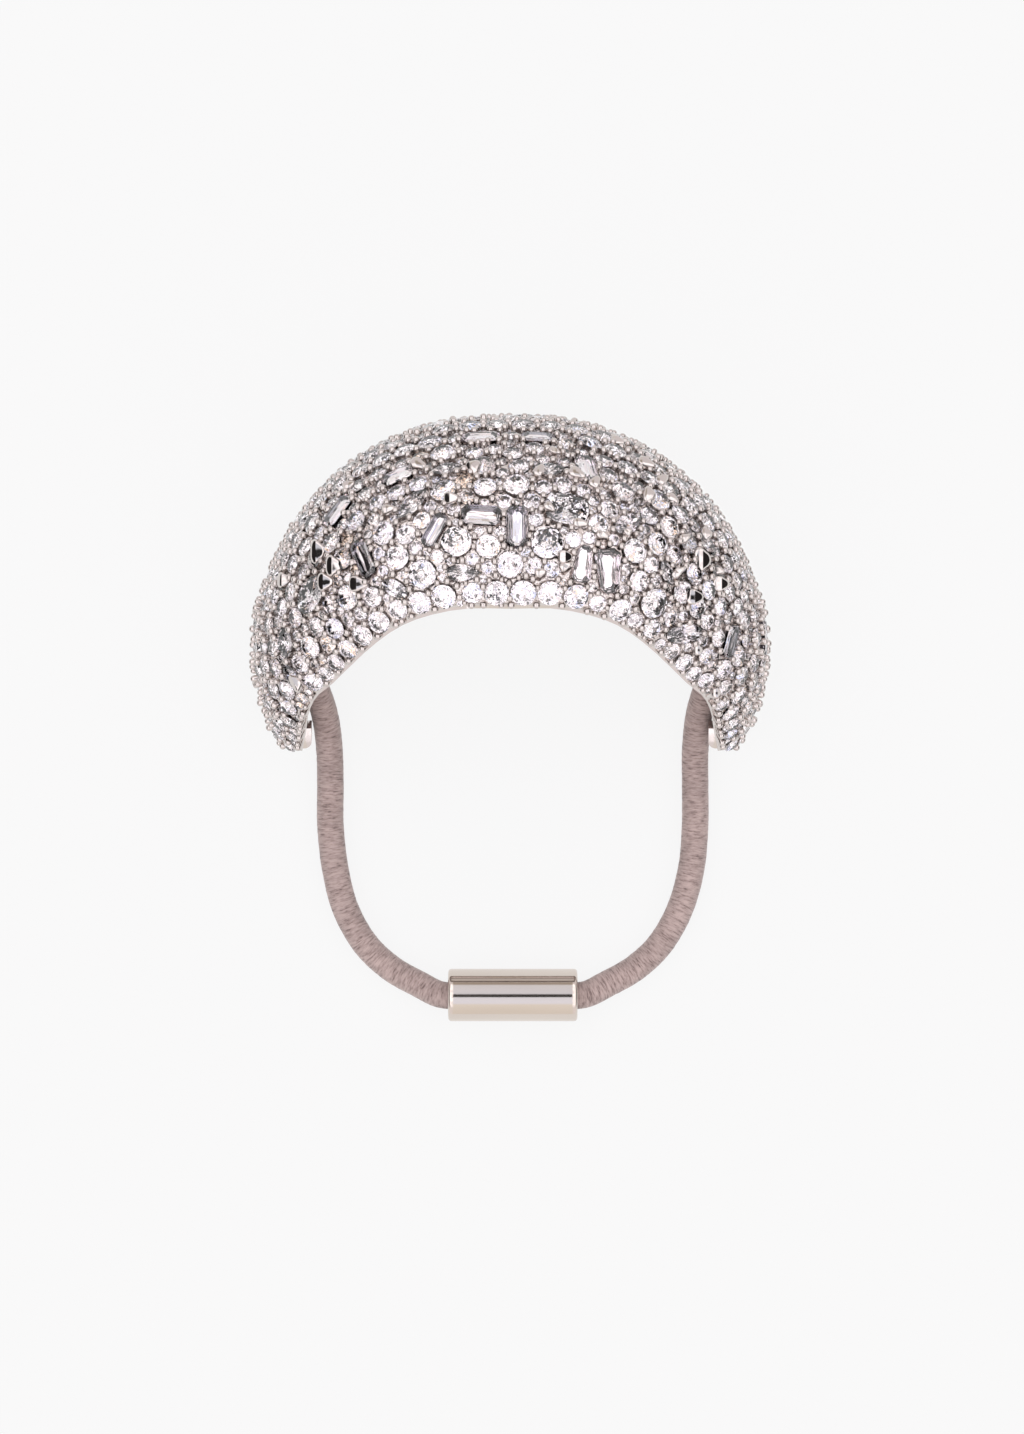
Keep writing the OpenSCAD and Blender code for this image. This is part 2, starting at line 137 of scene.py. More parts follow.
def add(tree, kind, inputs=None, **settings):
    """Adds a node to a tree, with its settings and its inputs."""
    node = tree.nodes.new(kind)
    for key, value in settings.items():
        setattr(node, key, value)
    feed(node, inputs or {})
    return node


def emptied(owner):
    """The node tree of a material or a world, with nothing in it."""
    owner.use_nodes = True
    owner.node_tree.nodes.clear()
    return owner.node_tree


def new_group(name, kind, inputs, outputs):
    """An empty node group, and what its inputs give. Each input and output has a label and a kind."""
    group = bpy.data.node_groups.new(name, kind)
    for way, sockets in [("INPUT", inputs), ("OUTPUT", outputs)]:
        for label, socket in sockets:
            group.interface.new_socket(label, in_out=way, socket_type="NodeSocket" + socket)
    return group, group.nodes.new("NodeGroupInput").outputs


def blended(tree, factor, a, b):
    """Mixes two colours, from a where the factor is 0 to b where it is 1."""
    return add(tree, "ShaderNodeMix", {0: factor, 6: a, 7: b}, data_type="RGBA").outputs[2]


def colour_steps(tree, value, steps, interpolation="LINEAR"):
    """A colour ramp on a value. steps lists its positions, each with its colour."""
    ramp = add(tree, "ShaderNodeValToRGB", {0: value})
    ramp.color_ramp.interpolation = interpolation
    elements = ramp.color_ramp.elements
    while len(elements) < len(steps):
        elements.new(0.5)
    for element, (position, colour) in zip(elements, steps):
        element.position = position
        element.color = (*colour, 1)
    return ramp.outputs[0]


def new_material(name):
    """An empty material: its node tree and the Principled shader that feeds its output."""
    material = bpy.data.materials.new(name)
    tree = emptied(material)
    shader = add(tree, "ShaderNodeBsdfPrincipled")
    add(tree, "ShaderNodeOutputMaterial", {"Surface": shader.outputs[0]})
    return material, tree, shader


def piece_from(name, mesh, *materials):
    """A new object at the origin, with a mesh and its materials."""
    for material in materials:
        mesh.materials.append(material)
    piece = bpy.data.objects.new(name, mesh)
    bpy.context.scene.collection.objects.link(piece)
    return piece


def geometry_tree(name, sizes):
    """An empty Geometry Nodes tree. sizes lists its named inputs, each with its kind."""
    geometry = [("Geometry", "Geometry")]
    return new_group(name, "GeometryNodeTree", geometry + sizes, geometry)


def stored(tree, shape, name, value, kind):
    """Keeps a value on a shape's points under a name."""
    return add(tree, "GeometryNodeStoreNamedAttribute", {"Geometry": shape, "Name": name, "Value": value},
               data_type=kind, domain="POINT").outputs[0]


def recalled(tree, name, kind):
    """The value that was kept under a name."""
    return add(tree, "GeometryNodeInputNamedAttribute", {"Name": name}, data_type=kind).outputs[0]


def modified(work, name):
    """The mesh of a working object after its modifiers. The object is removed."""
    mesh = bpy.data.meshes.new_from_object(work.evaluated_get(bpy.context.evaluated_depsgraph_get()))
    bpy.data.objects.remove(work)
    mesh.name = name
    return mesh


def grown(name, start, tree, values):
    """Runs a tree on a start mesh and gives its result as a plain mesh under that name."""
    work = piece_from(name + "_start", start)
    modifier = work.modifiers.new("grow", "NODES")
    modifier.node_group = tree
    for item in tree.interface.items_tree:
        if item.in_out == "INPUT" and item.name in values:
            modifier[item.identifier] = values[item.name]
    return modified(work, name)


def elastic_tree():
    """Sweeps the knit cover round the route, with the fine crosswise wrinkles of a slack elastic.
    The knit attribute holds the place on the cover as if the cord lay straight."""
    tree, given = geometry_tree("elastic", [("Width", "Float"), ("Ring spacing", "Float"),
                                            ("Wrinkle depth", "Float"), ("Material", "Material")])
    radius = add(tree, "ShaderNodeMath", {0: given["Width"], 1: 0.5}, operation="MULTIPLY").outputs[0]
    line = add(tree, "GeometryNodeMeshToCurve", {"Mesh": given["Geometry"]}).outputs[0]
    line = add(tree, "GeometryNodeCurveSplineType", {"Curve": line}, spline_type="CATMULL_ROM").outputs[0]
    line = add(tree, "GeometryNodeResampleCurve", {"Curve": line, "Length": given["Ring spacing"]},
               mode="LENGTH").outputs[0]
    along = add(tree, "GeometryNodeSplineParameter").outputs["Length"]
    line = stored(tree, line, "along", along, "FLOAT")
    ring = add(tree, "GeometryNodeCurvePrimitiveCircle", {"Resolution": ELASTIC_SIDES, "Radius": radius})
    place = add(tree, "GeometryNodeInputPosition").outputs[0]
    ring = stored(tree, ring.outputs[0], "around", place, "FLOAT_VECTOR")
    tube = add(tree, "GeometryNodeCurveToMesh", {"Curve": line, "Profile Curve": ring, "Fill Caps": True})
    around = add(tree, "ShaderNodeSeparateXYZ", {0: recalled(tree, "around", "FLOAT_VECTOR")}).outputs
    straight = add(tree, "ShaderNodeCombineXYZ", {0: around[0], 1: around[1],
                                                   2: recalled(tree, "along", "FLOAT")}).outputs[0]
    tube = stored(tree, tube.outputs[0], "knit", straight, "FLOAT_VECTOR")
    squeezed = add(tree, "ShaderNodeVectorMath", {0: straight, 1: WRINKLE_SCALE},
                   operation="MULTIPLY").outputs[0]
    noise = add(tree, "ShaderNodeTexNoise", {"Vector": squeezed, "Scale": 1.0, "Detail": 2.0})
    lift = add(tree, "ShaderNodeMath", {0: noise.outputs[0], 1: 0.5}, operation="SUBTRACT").outputs[0]
    lift = add(tree, "ShaderNodeMath", {0: lift, 1: given["Wrinkle depth"]}, operation="MULTIPLY").outputs[0]
    normal = add(tree, "GeometryNodeInputNormal").outputs[0]
    offset = add(tree, "ShaderNodeVectorMath", {0: normal, "Scale": lift}, operation="SCALE").outputs[0]
    tube = add(tree, "GeometryNodeSetPosition", {"Geometry": tube, "Offset": offset}).outputs[0]
    whole = add(tree, "GeometryNodeRealizeInstances", {"Geometry": tube}).outputs[0]
    done = add(tree, "GeometryNodeSetMaterial", {"Geometry": whole, "Material": given["Material"]})
    add(tree, "NodeGroupOutput", {0: done.outputs[0]})
    return tree


def knit_material():
    """Matte knit cover: flecks of lighter and darker yarn that lie crosswise on the cord."""
    material, tree, shader = new_material("knit_cover")
    knit = add(tree, "ShaderNodeAttribute", attribute_name="knit").outputs["Vector"]
    crosswise = add(tree, "ShaderNodeMapping", {"Vector": knit, "Scale": YARN_SCALE})
    fleck = add(tree, "ShaderNodeTexNoise", {"Vector": crosswise.outputs[0], "Scale": 1.0, "Detail": 3.0,
                                             "Roughness": 0.6})
    patch = add(tree, "ShaderNodeTexNoise", {"Vector": knit, "Scale": PATCH_SCALE, "Detail": 1.0})
    yarn = colour_steps(tree, fleck.outputs[0], YARN_COLOURS)
    tone = add(tree, "ShaderNodeMapRange", {0: patch.outputs[0], 1: 0.3, 2: 0.7, 3: 0.92, 4: 1.06})
    colour = add(tree, "ShaderNodeVectorMath", {0: yarn, "Scale": tone.outputs[0]}, operation="SCALE")
    fine = add(tree, "ShaderNodeTexNoise", {"Vector": crosswise.outputs[0], "Scale": 2.4, "Detail": 2.0})
    height = add(tree, "ShaderNodeMath", {0: fleck.outputs[0], 1: fine.outputs[0]}, operation="ADD")
    bump = add(tree, "ShaderNodeBump", {"Height": height.outputs[0], "Strength": 0.7,
                                        "Distance": YARN_RELIEF})
    feed(shader, {"Base Color": colour.outputs[0], "Normal": bump.outputs[0], "Roughness": 0.85,
                  "Sheen Weight": 0.35, "Sheen Roughness": 0.5})
    return material


route_mesh = bpy.data.meshes.new("elastic_route")
route_mesh.from_pydata(elastic_path, [(i, i + 1) for i in range(len(elastic_path) - 1)], [])
knit_cover = knit_material()
elastic_mesh = grown("elastic", route_mesh, elastic_tree(),
                     {"Width": ELASTIC_WIDTH - WRINKLE_DEPTH, "Ring spacing": ELASTIC_RING,
                      "Wrinkle depth": WRINKLE_DEPTH, "Material": knit_cover})
elastic_mesh.shade_smooth()
elastic = piece_from("elastic", elastic_mesh)
barrel_low, barrel_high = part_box("barrel")
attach(elastic, "root")
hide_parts("elastic_cord")

# Barrel. A short brass tube, turned with rounded ends, plated and polished. It joins the two ends
# of the elastic and lies on the table.
BARREL_BORE = 3.3 * MM
BARREL_ROUND = 0.35 * MM
BARREL_SEGMENTS = 96
BARREL_CREASE = math.radians(40)
BARREL_COLOUR = (0.735, 0.66, 0.60)
ROUND_STEPS = 5
SCRATCH_SCALE = 3.0 / MM
SCRATCH_RELIEF = 0.01 * MM
CLOUD_SCALE = 0.45 / MM
UNEVENNESS = 0.08


def plated_finish():
    """Node group for plated metal: hairline scratches and a slightly uneven polish."""
    group, given = new_group(
        "plated_finish", "ShaderNodeTree",
        [("Place", "Vector"), ("Scratch scale", "Float"), ("Polish", "Float"), ("Unevenness", "Float"),
         ("Scratch depth", "Float")],
        [("Roughness", "Float"), ("Normal", "Vector"), ("Tone", "Float")])
    scratch = add(group, "ShaderNodeTexNoise", {"Vector": given["Place"], "Scale": given["Scratch scale"],
                                                "Detail": 4.0, "Roughness": 0.7})
    cloud = add(group, "ShaderNodeTexNoise", {"Vector": given["Place"], "Scale": CLOUD_SCALE, "Detail": 2.0})
    uneven = add(group, "ShaderNodeMath", {0: cloud.outputs[0], 1: given["Unevenness"], 2: given["Polish"]},
                 operation="MULTIPLY_ADD")
    bump = add(group, "ShaderNodeBump", {"Height": scratch.outputs[0], "Strength": given["Scratch depth"],
                                         "Distance": SCRATCH_RELIEF})
    tone = add(group, "ShaderNodeMapRange", {0: cloud.outputs[0], 1: 0.25, 2: 0.75, 3: 0.93, 4: 1.0})
    add(group, "NodeGroupOutput", {"Roughness": uneven.outputs[0], "Normal": bump.outputs[0],
                                   "Tone": tone.outputs[0]})
    return group


PLATED = plated_finish()


def plated_group(tree, place, polish, depth):
    """The plated finish, placed in a material's tree."""
    return add(tree, "ShaderNodeGroup", {"Place": place, "Scratch scale": SCRATCH_SCALE, "Polish": polish,
                                         "Unevenness": UNEVENNESS, "Scratch depth": depth},
               node_tree=PLATED)


def plated_metal(name, colour, polish, stretch, depth):
    """Plated metal of one colour. stretch draws the scratches out along an axis."""
    material, tree, shader = new_material(name)
    place = add(tree, "ShaderNodeTexCoord").outputs["Object"]
    drawn = add(tree, "ShaderNodeMapping", {"Vector": place, "Scale": stretch})
    finish = plated_group(tree, drawn.outputs[0], polish, depth)
    shade = add(tree, "ShaderNodeVectorMath", {0: colour, "Scale": finish.outputs["Tone"]},
                operation="SCALE")
    feed(shader, {"Base Color": shade.outputs[0], "Roughness": finish.outputs["Roughness"],
                  "Normal": finish.outputs["Normal"], "Metallic": 1.0})
    return material


def turned(name, profile, centre, segments):
    """Turns a closed profile of (x, radius) points about the X axis through centre."""
    turns = [2 * math.pi * k / segments for k in range(segments)]
    vertices = [(x, centre.y + r * math.cos(a), centre.z + r * math.sin(a))
                for a in turns for x, r in profile]
    count = len(profile)
    faces = [(k * count + i, k * count + (i + 1) % count,
              (k + 1) % segments * count + (i + 1) % count, (k + 1) % segments * count + i)
             for k in range(segments) for i in range(count)]
    mesh = bpy.data.meshes.new(name)
    mesh.from_pydata(vertices, [], faces)
    return mesh


def barrel_profile(low, high):
    """Half of the barrel cut lengthwise: rounded outer corners, then the bore with eased mouths."""
    radius = (high.z - low.z) / 2
    bore = BARREL_BORE / 2
    ease = BARREL_ROUND / 2
    corner = [math.pi / 2 * i / ROUND_STEPS for i in range(ROUND_STEPS + 1)]
    left = [(low.x + BARREL_ROUND * (1 - math.cos(a)), radius - BARREL_ROUND * (1 - math.sin(a)))
            for a in corner]
    left += [(low.x + 2 * BARREL_ROUND, radius), (low.x + 3 * BARREL_ROUND, radius)]
    right = [(high.x - (x - low.x), r) for x, r in reversed(left)]
    return left + right + [(high.x, bore + ease), (high.x - ease, bore), (low.x + ease, bore),
                           (low.x, bore + ease)]


barrel_centre = (barrel_low + barrel_high) / 2
barrel_mesh = turned("joining_barrel", barrel_profile(barrel_low, barrel_high), barrel_centre,
                     BARREL_SEGMENTS)
barrel_mesh.shade_smooth()
barrel_mesh.set_sharp_from_angle(angle=BARREL_CREASE)
barrel_metal = plated_metal("barrel_plating", BARREL_COLOUR, polish=0.06, stretch=(0.15, 1, 1), depth=0.12)
barrel = piece_from("joining_barrel", barrel_mesh, barrel_metal)
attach(barrel, "root")
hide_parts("barrel")

# Main stones. Forty cut stones of clear zirconia in mixed cuts, each glued and clawed in its seat.
# Their backs are silvered, so that they throw the light out again through the crown.
STONE_IOR = 1.9
CROWN_SHARE = 0.15
TABLE_SHARE = 0.56
STAR_SHARE = 0.76
LOWER_SHARE = 0.42
DEPTH_SHARE = 0.41
DEPTH_MOST = 1.12 * MM
SPARKLE_CELL = 0.34 * MM
SPARKLE_LEAN = 0.30
STEP_CELL = 0.30 * MM
STEP_LEAN = 0.16
STEP_STRETCH = 5
STEP_CROWN = 0.8
BACK_FACING = -0.02
GIRDLE_FACING = 0.3
SLOPE_FACING = 0.25
GIRDLE_HALF = 0.01 * MM
WELD_GAP = 0.0005 * MM
NO_AREA = 1e-15
ALMOST = 1e-6
# Painted reflections: the tones that the cells of a silvered back show. Most are white, some are grey, and a
# few blue and orange ones are painted fire.
PAINTED_SPARKLE_TONES = [
    (0.00, (1.00, 1.00, 1.00)),
    (0.58, (0.93, 0.92, 0.95)),
    (0.72, (0.99, 0.96, 0.94)),
    (0.82, (0.84, 0.82, 0.83)),
    (0.89, (1.00, 0.99, 0.98)),
    (0.955, (0.66, 0.64, 0.65)),
    (0.975, (0.78, 0.83, 1.00)),
    (0.99, (1.00, 0.84, 0.66)),
]
# Painted reflection tints for the backs of round stones: mostly white, some lavender, pink and grey, and a
# few blue and orange glints of painted fire.
FOIL_REFLECTION_TINTS = [(1.00, 0.985, 0.99), (0.96, 0.94, 0.98), (0.99, 0.94, 0.92), (0.84, 0.81, 0.83),
              (0.78, 0.84, 1.00), (1.00, 0.84, 0.68)]
FOIL_SHARES = [0.78, 0.08, 0.07, 0.05, 0.01, 0.01]
# Painted reflection tints for the backs of step cuts, in the same way.
STEP_REFLECTION_TINTS = [(0.99, 0.95, 0.97), (1.00, 0.985, 0.99), (0.93, 0.90, 0.93), (0.99, 0.94, 0.93),
              (0.80, 0.84, 1.00), (1.00, 0.80, 0.66)]
# Painted reflection: the dark of the room, painted on one long slope of a step cut's back, and the share of
# stones that get it.
PAINTED_DARK_REFLECTION = (0.40, 0.40, 0.44)
PAINTED_DARK_REFLECTION_SHARE = 0.4
WARM_TINTS = [(0.95, 0.86, 0.78), (0.74, 0.58, 0.45), (0.98, 0.95, 0.92), (0.55, 0.43, 0.34),
              (0.92, 0.74, 0.56), (0.98, 0.96, 0.94)]
chance = np.random.default_rng(11)


def sparkle():
    """Node group for the many small mirror images seen in a cut stone: each cell of the back leans
    its own way and shows its own painted reflection tone."""
    group, given = new_group("sparkle", "ShaderNodeTree",
                             [("Place", "Vector"), ("Cell scale", "Float"), ("Lean", "Float")],
                             [("Normal", "Vector"), ("Tone", "Color")])
    cell = add(group, "ShaderNodeTexVoronoi", {"Vector": given["Place"], "Scale": given["Cell scale"]})
    even = add(group, "ShaderNodeVectorMath", {0: cell.outputs["Color"], 1: (0.5, 0.5, 0.5)},
               operation="SUBTRACT").outputs[0]
    lean = add(group, "ShaderNodeVectorMath", {0: even, "Scale": given["Lean"]}, operation="SCALE").outputs[0]
    flat = add(group, "ShaderNodeNewGeometry").outputs["Normal"]
    leaning = add(group, "ShaderNodeVectorMath", {0: flat, 1: lean}, operation="ADD").outputs[0]
    normal = add(group, "ShaderNodeVectorMath", {0: leaning}, operation="NORMALIZE").outputs[0]
    draw = add(group, "ShaderNodeSeparateXYZ", {0: cell.outputs["Color"]}).outputs[1]
    tone = colour_steps(group, draw, PAINTED_SPARKLE_TONES, "CONSTANT")
    add(group, "NodeGroupOutput", {"Normal": normal, "Tone": tone})
    return group


SPARKLE = sparkle()


def crown_clear():
    """Clear polished zirconia."""
    material, tree, shader = new_material("zirconia_crown")
    feed(shader, {"Base Color": (1, 1, 1, 1), "Roughness": 0.0, "IOR": STONE_IOR,
                  "Transmission Weight": 1.0})
    return material


def silvered_back(name, cell, lean):
    """Mirror film on the back of a stone, in a painted reflection tint for each facet. The facet_place
    attribute holds the place in the stone's own frame, drawn in along its length on the long cuts."""
    material, tree, shader = new_material(name)
    tint = add(tree, "ShaderNodeAttribute", attribute_name="tint").outputs["Color"]
    place = add(tree, "ShaderNodeAttribute", attribute_name="facet_place").outputs["Vector"]
    play = add(tree, "ShaderNodeGroup", {"Place": place, "Cell scale": 1 / cell, "Lean": lean},
               node_tree=SPARKLE)
    colour = add(tree, "ShaderNodeVectorMath", {0: tint, 1: play.outputs["Tone"]}, operation="MULTIPLY")
    feed(shader, {"Base Color": colour.outputs[0], "Normal": play.outputs["Normal"], "Metallic": 1.0,
                  "Roughness": 0.02})
    return material


crown_material = crown_clear()
foil_material = silvered_back("silvered_back", SPARKLE_CELL, SPARKLE_LEAN)
step_foil_material = silvered_back("silvered_step_back", STEP_CELL, STEP_LEAN)


def merged(node, name):
    """A copy of a CAD node's mesh with its loose triangles joined."""
    mesh = cad[node].data.copy()
    mesh.materials.clear()
    work = piece_from(name + "_work", mesh)
    work.modifiers.new("weld", "WELD").merge_threshold = WELD_GAP
    joined = modified(work, name)
    bpy.data.meshes.remove(mesh)
    return joined


def vertex_places(mesh):
    """A mesh's vertices as an array of places."""
    places = np.empty(len(mesh.vertices) * 3, np.float32)
    mesh.vertices.foreach_get("co", places)
    return places.reshape(-1, 3).astype(float)


def islands(mesh):
    """Lists of vertex numbers, one for each connected piece of a mesh."""
    group = np.arange(len(mesh.vertices))
    edges = np.array([e.vertices[:] for e in mesh.edges])
    while True:
        before = group.copy()
        low = np.minimum(group[edges[:, 0]], group[edges[:, 1]])
        np.minimum.at(group, edges[:, 0], low)
        np.minimum.at(group, edges[:, 1], low)
        group = group[group]
        if (group == before).all():
            return [np.flatnonzero(group == g) for g in np.unique(group)]


def measured(points):
    """A stone's frame: the middle of its girdle, its axis outwards, its long and cross ways, and
    its outline in those two ways. It is thinnest along its axis."""
    mean = points.mean(0)
    ways = np.linalg.eigh((points - mean).T @ (points - mean))[1]
    axis, side = ways[:, 0], ways[:, 2]
    if axis @ (mean - way_middle) < 0:
        axis = -axis
    other = np.cross(axis, side)
    flat = (points - mean) @ np.c_[side, other]
    order = geometry.convex_hull_2d([tuple(p) for p in flat])
    middle = (flat.min(0) + flat.max(0)) / 2
    level = ((points[order] - mean) @ axis).mean()
    return (mean + middle[0] * side + middle[1] * other + level * axis, axis, side, other,
            flat[order] - middle)


def brilliant(outline, crown, depth):
    """Brilliant cut over an outline of 16 girdle points: a table, stars, kites and girdle facets
    above, lower facets and mains below. Its points are eight of the table, eight of the stars, the
    girdle from number 16, eight of the lower facets from number 32, and the tip, number 40. The
    last list says which faces are the back."""
    half = math.cos(math.pi / 8)
    star_level = crown * (1 - STAR_SHARE * half) / (1 - TABLE_SHARE)
    lower_level = -depth * (1 - LOWER_SHARE * half)
    points = ([(u * TABLE_SHARE, v * TABLE_SHARE, crown) for u, v in outline[0::2]]
              + [(u * STAR_SHARE, v * STAR_SHARE, star_level) for u, v in outline[1::2]]
              + [(u, v, 0) for u, v in outline]
              + [(u * LOWER_SHARE, v * LOWER_SHARE, lower_level) for u, v in outline[1::2]]
              + [(0, 0, -depth)])
    faces, back = [tuple(range(8))], [False]
    for i in range(8):
        before, after = (i - 1) % 8, (i + 1) % 8
        g, h, k = 16 + 2 * i, 17 + 2 * i, 16 + 2 * after
        faces += [(i, 8 + i, after), (i, 8 + before, g, 8 + i), (8 + i, g, h), (8 + i, h, k),
                  (g, 32 + i, h), (h, 32 + i, k), (g, 32 + before, 40, 32 + i)]
        back += [False, False, False, False, True, True, True]
    return points, faces, back


def resampled(hull):
    """Sixteen girdle points on a stone's outline, at even turns of its long and cross halves."""
    halves = hull.max(0)
    points = []
    for i in range(16):
        way = halves * (math.cos(math.pi * i / 8), math.sin(math.pi * i / 8))
        best = 0
        for a, b in zip(hull, np.roll(hull, -1, axis=0)):
            det = way[0] * (a - b)[1] - way[1] * (a - b)[0]
            if abs(det) > NO_AREA:
                reach = (a[0] * (a - b)[1] - a[1] * (a - b)[0]) / det
                share = (way[0] * a[1] - way[1] * a[0]) / det
                if reach > best and -ALMOST <= share <= 1 + ALMOST:
                    best = reach
        points.append(way * best)
    return points


def reflection_tinted(mesh, palettes, facet_places=None):
    """Gives each facet its painted reflection tint: white on the crown, and on the back a draw from its
    palette. The facets' places are their own, or given in a stone's frame."""
    if facet_places is None:
        facet_places = vertex_places(mesh)
    spots = mesh.attributes.new("facet_place", "FLOAT_VECTOR", "POINT")
    spots.data.foreach_set("vector", facet_places.ravel())
    count = len(mesh.polygons)
    draws = chance.choice(len(FOIL_REFLECTION_TINTS), count, p=FOIL_SHARES)
    reflection_tints = palettes[np.arange(count), draws]
    front = np.empty(count, np.int32)
    mesh.polygons.foreach_get("material_index", front)
    reflection_tints[front == 0] = 1
    totals = np.empty(count, np.int32)
    mesh.polygons.foreach_get("loop_total", totals)
    corners = np.repeat(reflection_tints, totals, axis=0)
    mesh.attributes.new("tint", "FLOAT_COLOR", "CORNER").data.foreach_set(
        "color", np.c_[corners, np.ones(len(corners))].ravel())
    mesh.shade_flat()


def recut(mesh, stone):
    """The CAD mesh of a step-cut stone with its back as deep and its crown as low as the real one's."""
    middle, axis, side, other, hull = stone
    places = vertex_places(mesh)
    level = (places - middle) @ axis
    depth = min(DEPTH_SHARE * 2 * hull.max(0).min(), DEPTH_MOST)
    below = level < -GIRDLE_HALF
    places[below] += np.outer(level[below] * (depth / -level.min() - 1), axis)
    above = level > GIRDLE_HALF
    places[above] += np.outer(level[above] * (STEP_CROWN - 1), axis)
    mesh.vertices.foreach_set("co", places.astype(np.float32).ravel())
    normals = np.empty(len(mesh.polygons) * 3, np.float32)
    mesh.polygons.foreach_get("normal", normals)
    back = normals.reshape(-1, 3) @ axis < GIRDLE_FACING
    mesh.polygons.foreach_set("material_index", back.astype(np.int32))


def step_palettes(mesh, stone):
    """Painted reflection tints for the facets of a step cut. On most such stones one long slope of the
    back gets a painted dark reflection of the room."""
    middle, axis, side, other, hull = stone
    palettes = np.tile(STEP_REFLECTION_TINTS, (len(mesh.polygons), 1, 1))
    if chance.random() < PAINTED_DARK_REFLECTION_SHARE:
        way = Vector(other * chance.choice([-1, 1]))
        for facet in mesh.polygons:
            if facet.normal @ Vector(axis) < BACK_FACING and facet.normal @ way > SLOPE_FACING:
                palettes[facet.index] = PAINTED_DARK_REFLECTION
    return palettes


def brilliant_mesh(name, stone):
    """A brilliant cut in a stone's own place and outline."""
    middle, axis, side, other, hull = stone
    width = 2 * hull.max(0).min()
    depth = min(DEPTH_SHARE * width, DEPTH_MOST)
    points, faces, back = brilliant(resampled(hull), CROWN_SHARE * width, depth)
    points = middle + np.array(points) @ np.array([side, other, axis])
    mesh = bpy.data.meshes.new(name)
    mesh.from_pydata(points.tolist(), [], faces)
    mesh.polygons.foreach_set("material_index", np.array(back, np.int32))
    return mesh


way_low, way_high = [np.array(corner) for corner in frame["record"]["physics"]["openings"][0]["box_m"]]
way_middle = (way_low + way_high) / 2
main_stones = []
for node in sorted(n for n in cad if n.startswith("stone_")):
    name = "cut_" + node
    mesh = merged(node, name)
    stone = measured(vertex_places(mesh))
    main_stones.append(stone)
    middle, axis, side, other, hull = stone
    if "baguette" in node or "tapered" in node:
        recut(mesh, stone)
        own_places = (vertex_places(mesh) - middle) @ np.array([side / STEP_STRETCH, other, axis]).T + middle
        mesh.materials.append(crown_material)
        mesh.materials.append(step_foil_material)
        reflection_tinted(mesh, step_palettes(mesh, stone), own_places)
    else:
        mesh = brilliant_mesh(name, stone)
        mesh.materials.append(crown_material)
        mesh.materials.append(foil_material)
        reflection_tinted(mesh, np.tile(FOIL_REFLECTION_TINTS, (len(mesh.polygons), 1, 1)))
    piece = piece_from(name, mesh)
    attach(piece, "root")
    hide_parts(node)

far_mesh = merged("far_stones", "far_survey")
far_places = vertex_places(far_mesh)
far_stones = [measured(far_places[island]) for island in islands(far_mesh)]
far_parts = [brilliant_mesh("far_stone", stone) for stone in far_stones]
far_points = np.concatenate([vertex_places(part) for part in far_parts])
far_faces, far_backs, base = [], [], 0
for part in far_parts:
    far_faces += [tuple(base + v for v in p.vertices) for p in part.polygons]
    far_backs += [p.material_index for p in part.polygons]
    base += len(part.vertices)
    bpy.data.meshes.remove(part)
far_mesh = bpy.data.meshes.new("far_cut_stones")
far_mesh.from_pydata(far_points.tolist(), [], far_faces)
far_mesh.materials.append(crown_material)
far_mesh.materials.append(foil_material)
far_mesh.polygons.foreach_set("material_index", far_backs)
reflection_tinted(far_mesh, np.tile(FOIL_REFLECTION_TINTS, (len(far_mesh.polygons), 1, 1)))
far = piece_from("far_cut_stones", far_mesh)
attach(far, "root")
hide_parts("far_stones")

# Claws. Larger polished prongs hold the main stones. Each is a stout peg of the casting, pushed
# over the stone's edge and filed flat on top, or to a ridge that throws one side dark.
SHARP = math.radians(50)
OUTER_FACING = 0.5
JUST_OUTSIDE = 0.01 * MM
FAR_OFF = 60 * MM
RIM_STEPS = 12
CLAW_SIDES = 20
CLAW_HIGH = 1.75 * MM
CLAW_CREASE = math.radians(28)
CLAW_PROFILE = [(0.80, 0.0), (0.98, 0.60), (1.0, 0.76), (0.985, 0.84), (0.95, 0.905), (0.89, 0.95),
                (0.80, 0.98), (0.66, 0.995)]
CLAW_LOBE = 0.12
CLAW_GRIP = 0.4
RIDGE_SLOPE = 0.15
# Pixel of the photograph, half width, half length, turn and lean towards the right and the top
RIDGED_CLAWS = [
    (322, 552, 1.05, 1.50, 0, -0.36, 0.00),
    (337, 566, 1.10, 1.25, 0, -0.30, 0.00),
    (289, 581, 1.00, 0.95, 0, -0.42, 0.05),
    (329, 582, 1.10, 1.10, 0, -0.34, 0.00),
    (361, 584, 1.30, 0.95, 0, -0.26, 0.00),
    (301, 683, 0.75, 1.20, 30, -0.40, 0.00),
    (453, 499, 1.00, 0.75, 0, -0.20, 0.05),
    (476, 470, 0.95, 0.95, 45, -0.20, 0.20),
    (562, 557, 0.95, 0.80, 0, 0.20, 0.00),
    (697, 560, 1.20, 1.45, 0, 0.33, 0.00),
    (715, 584, 1.20, 0.95, 0, 0.38, 0.00),
    (690, 597, 1.20, 0.95, 0, 0.27, 0.00),
    (692, 650, 0.65, 0.65, 0, 0.45, 0.00),
    (710, 693, 0.65, 0.65, 0, 0.45, 0.00),
]
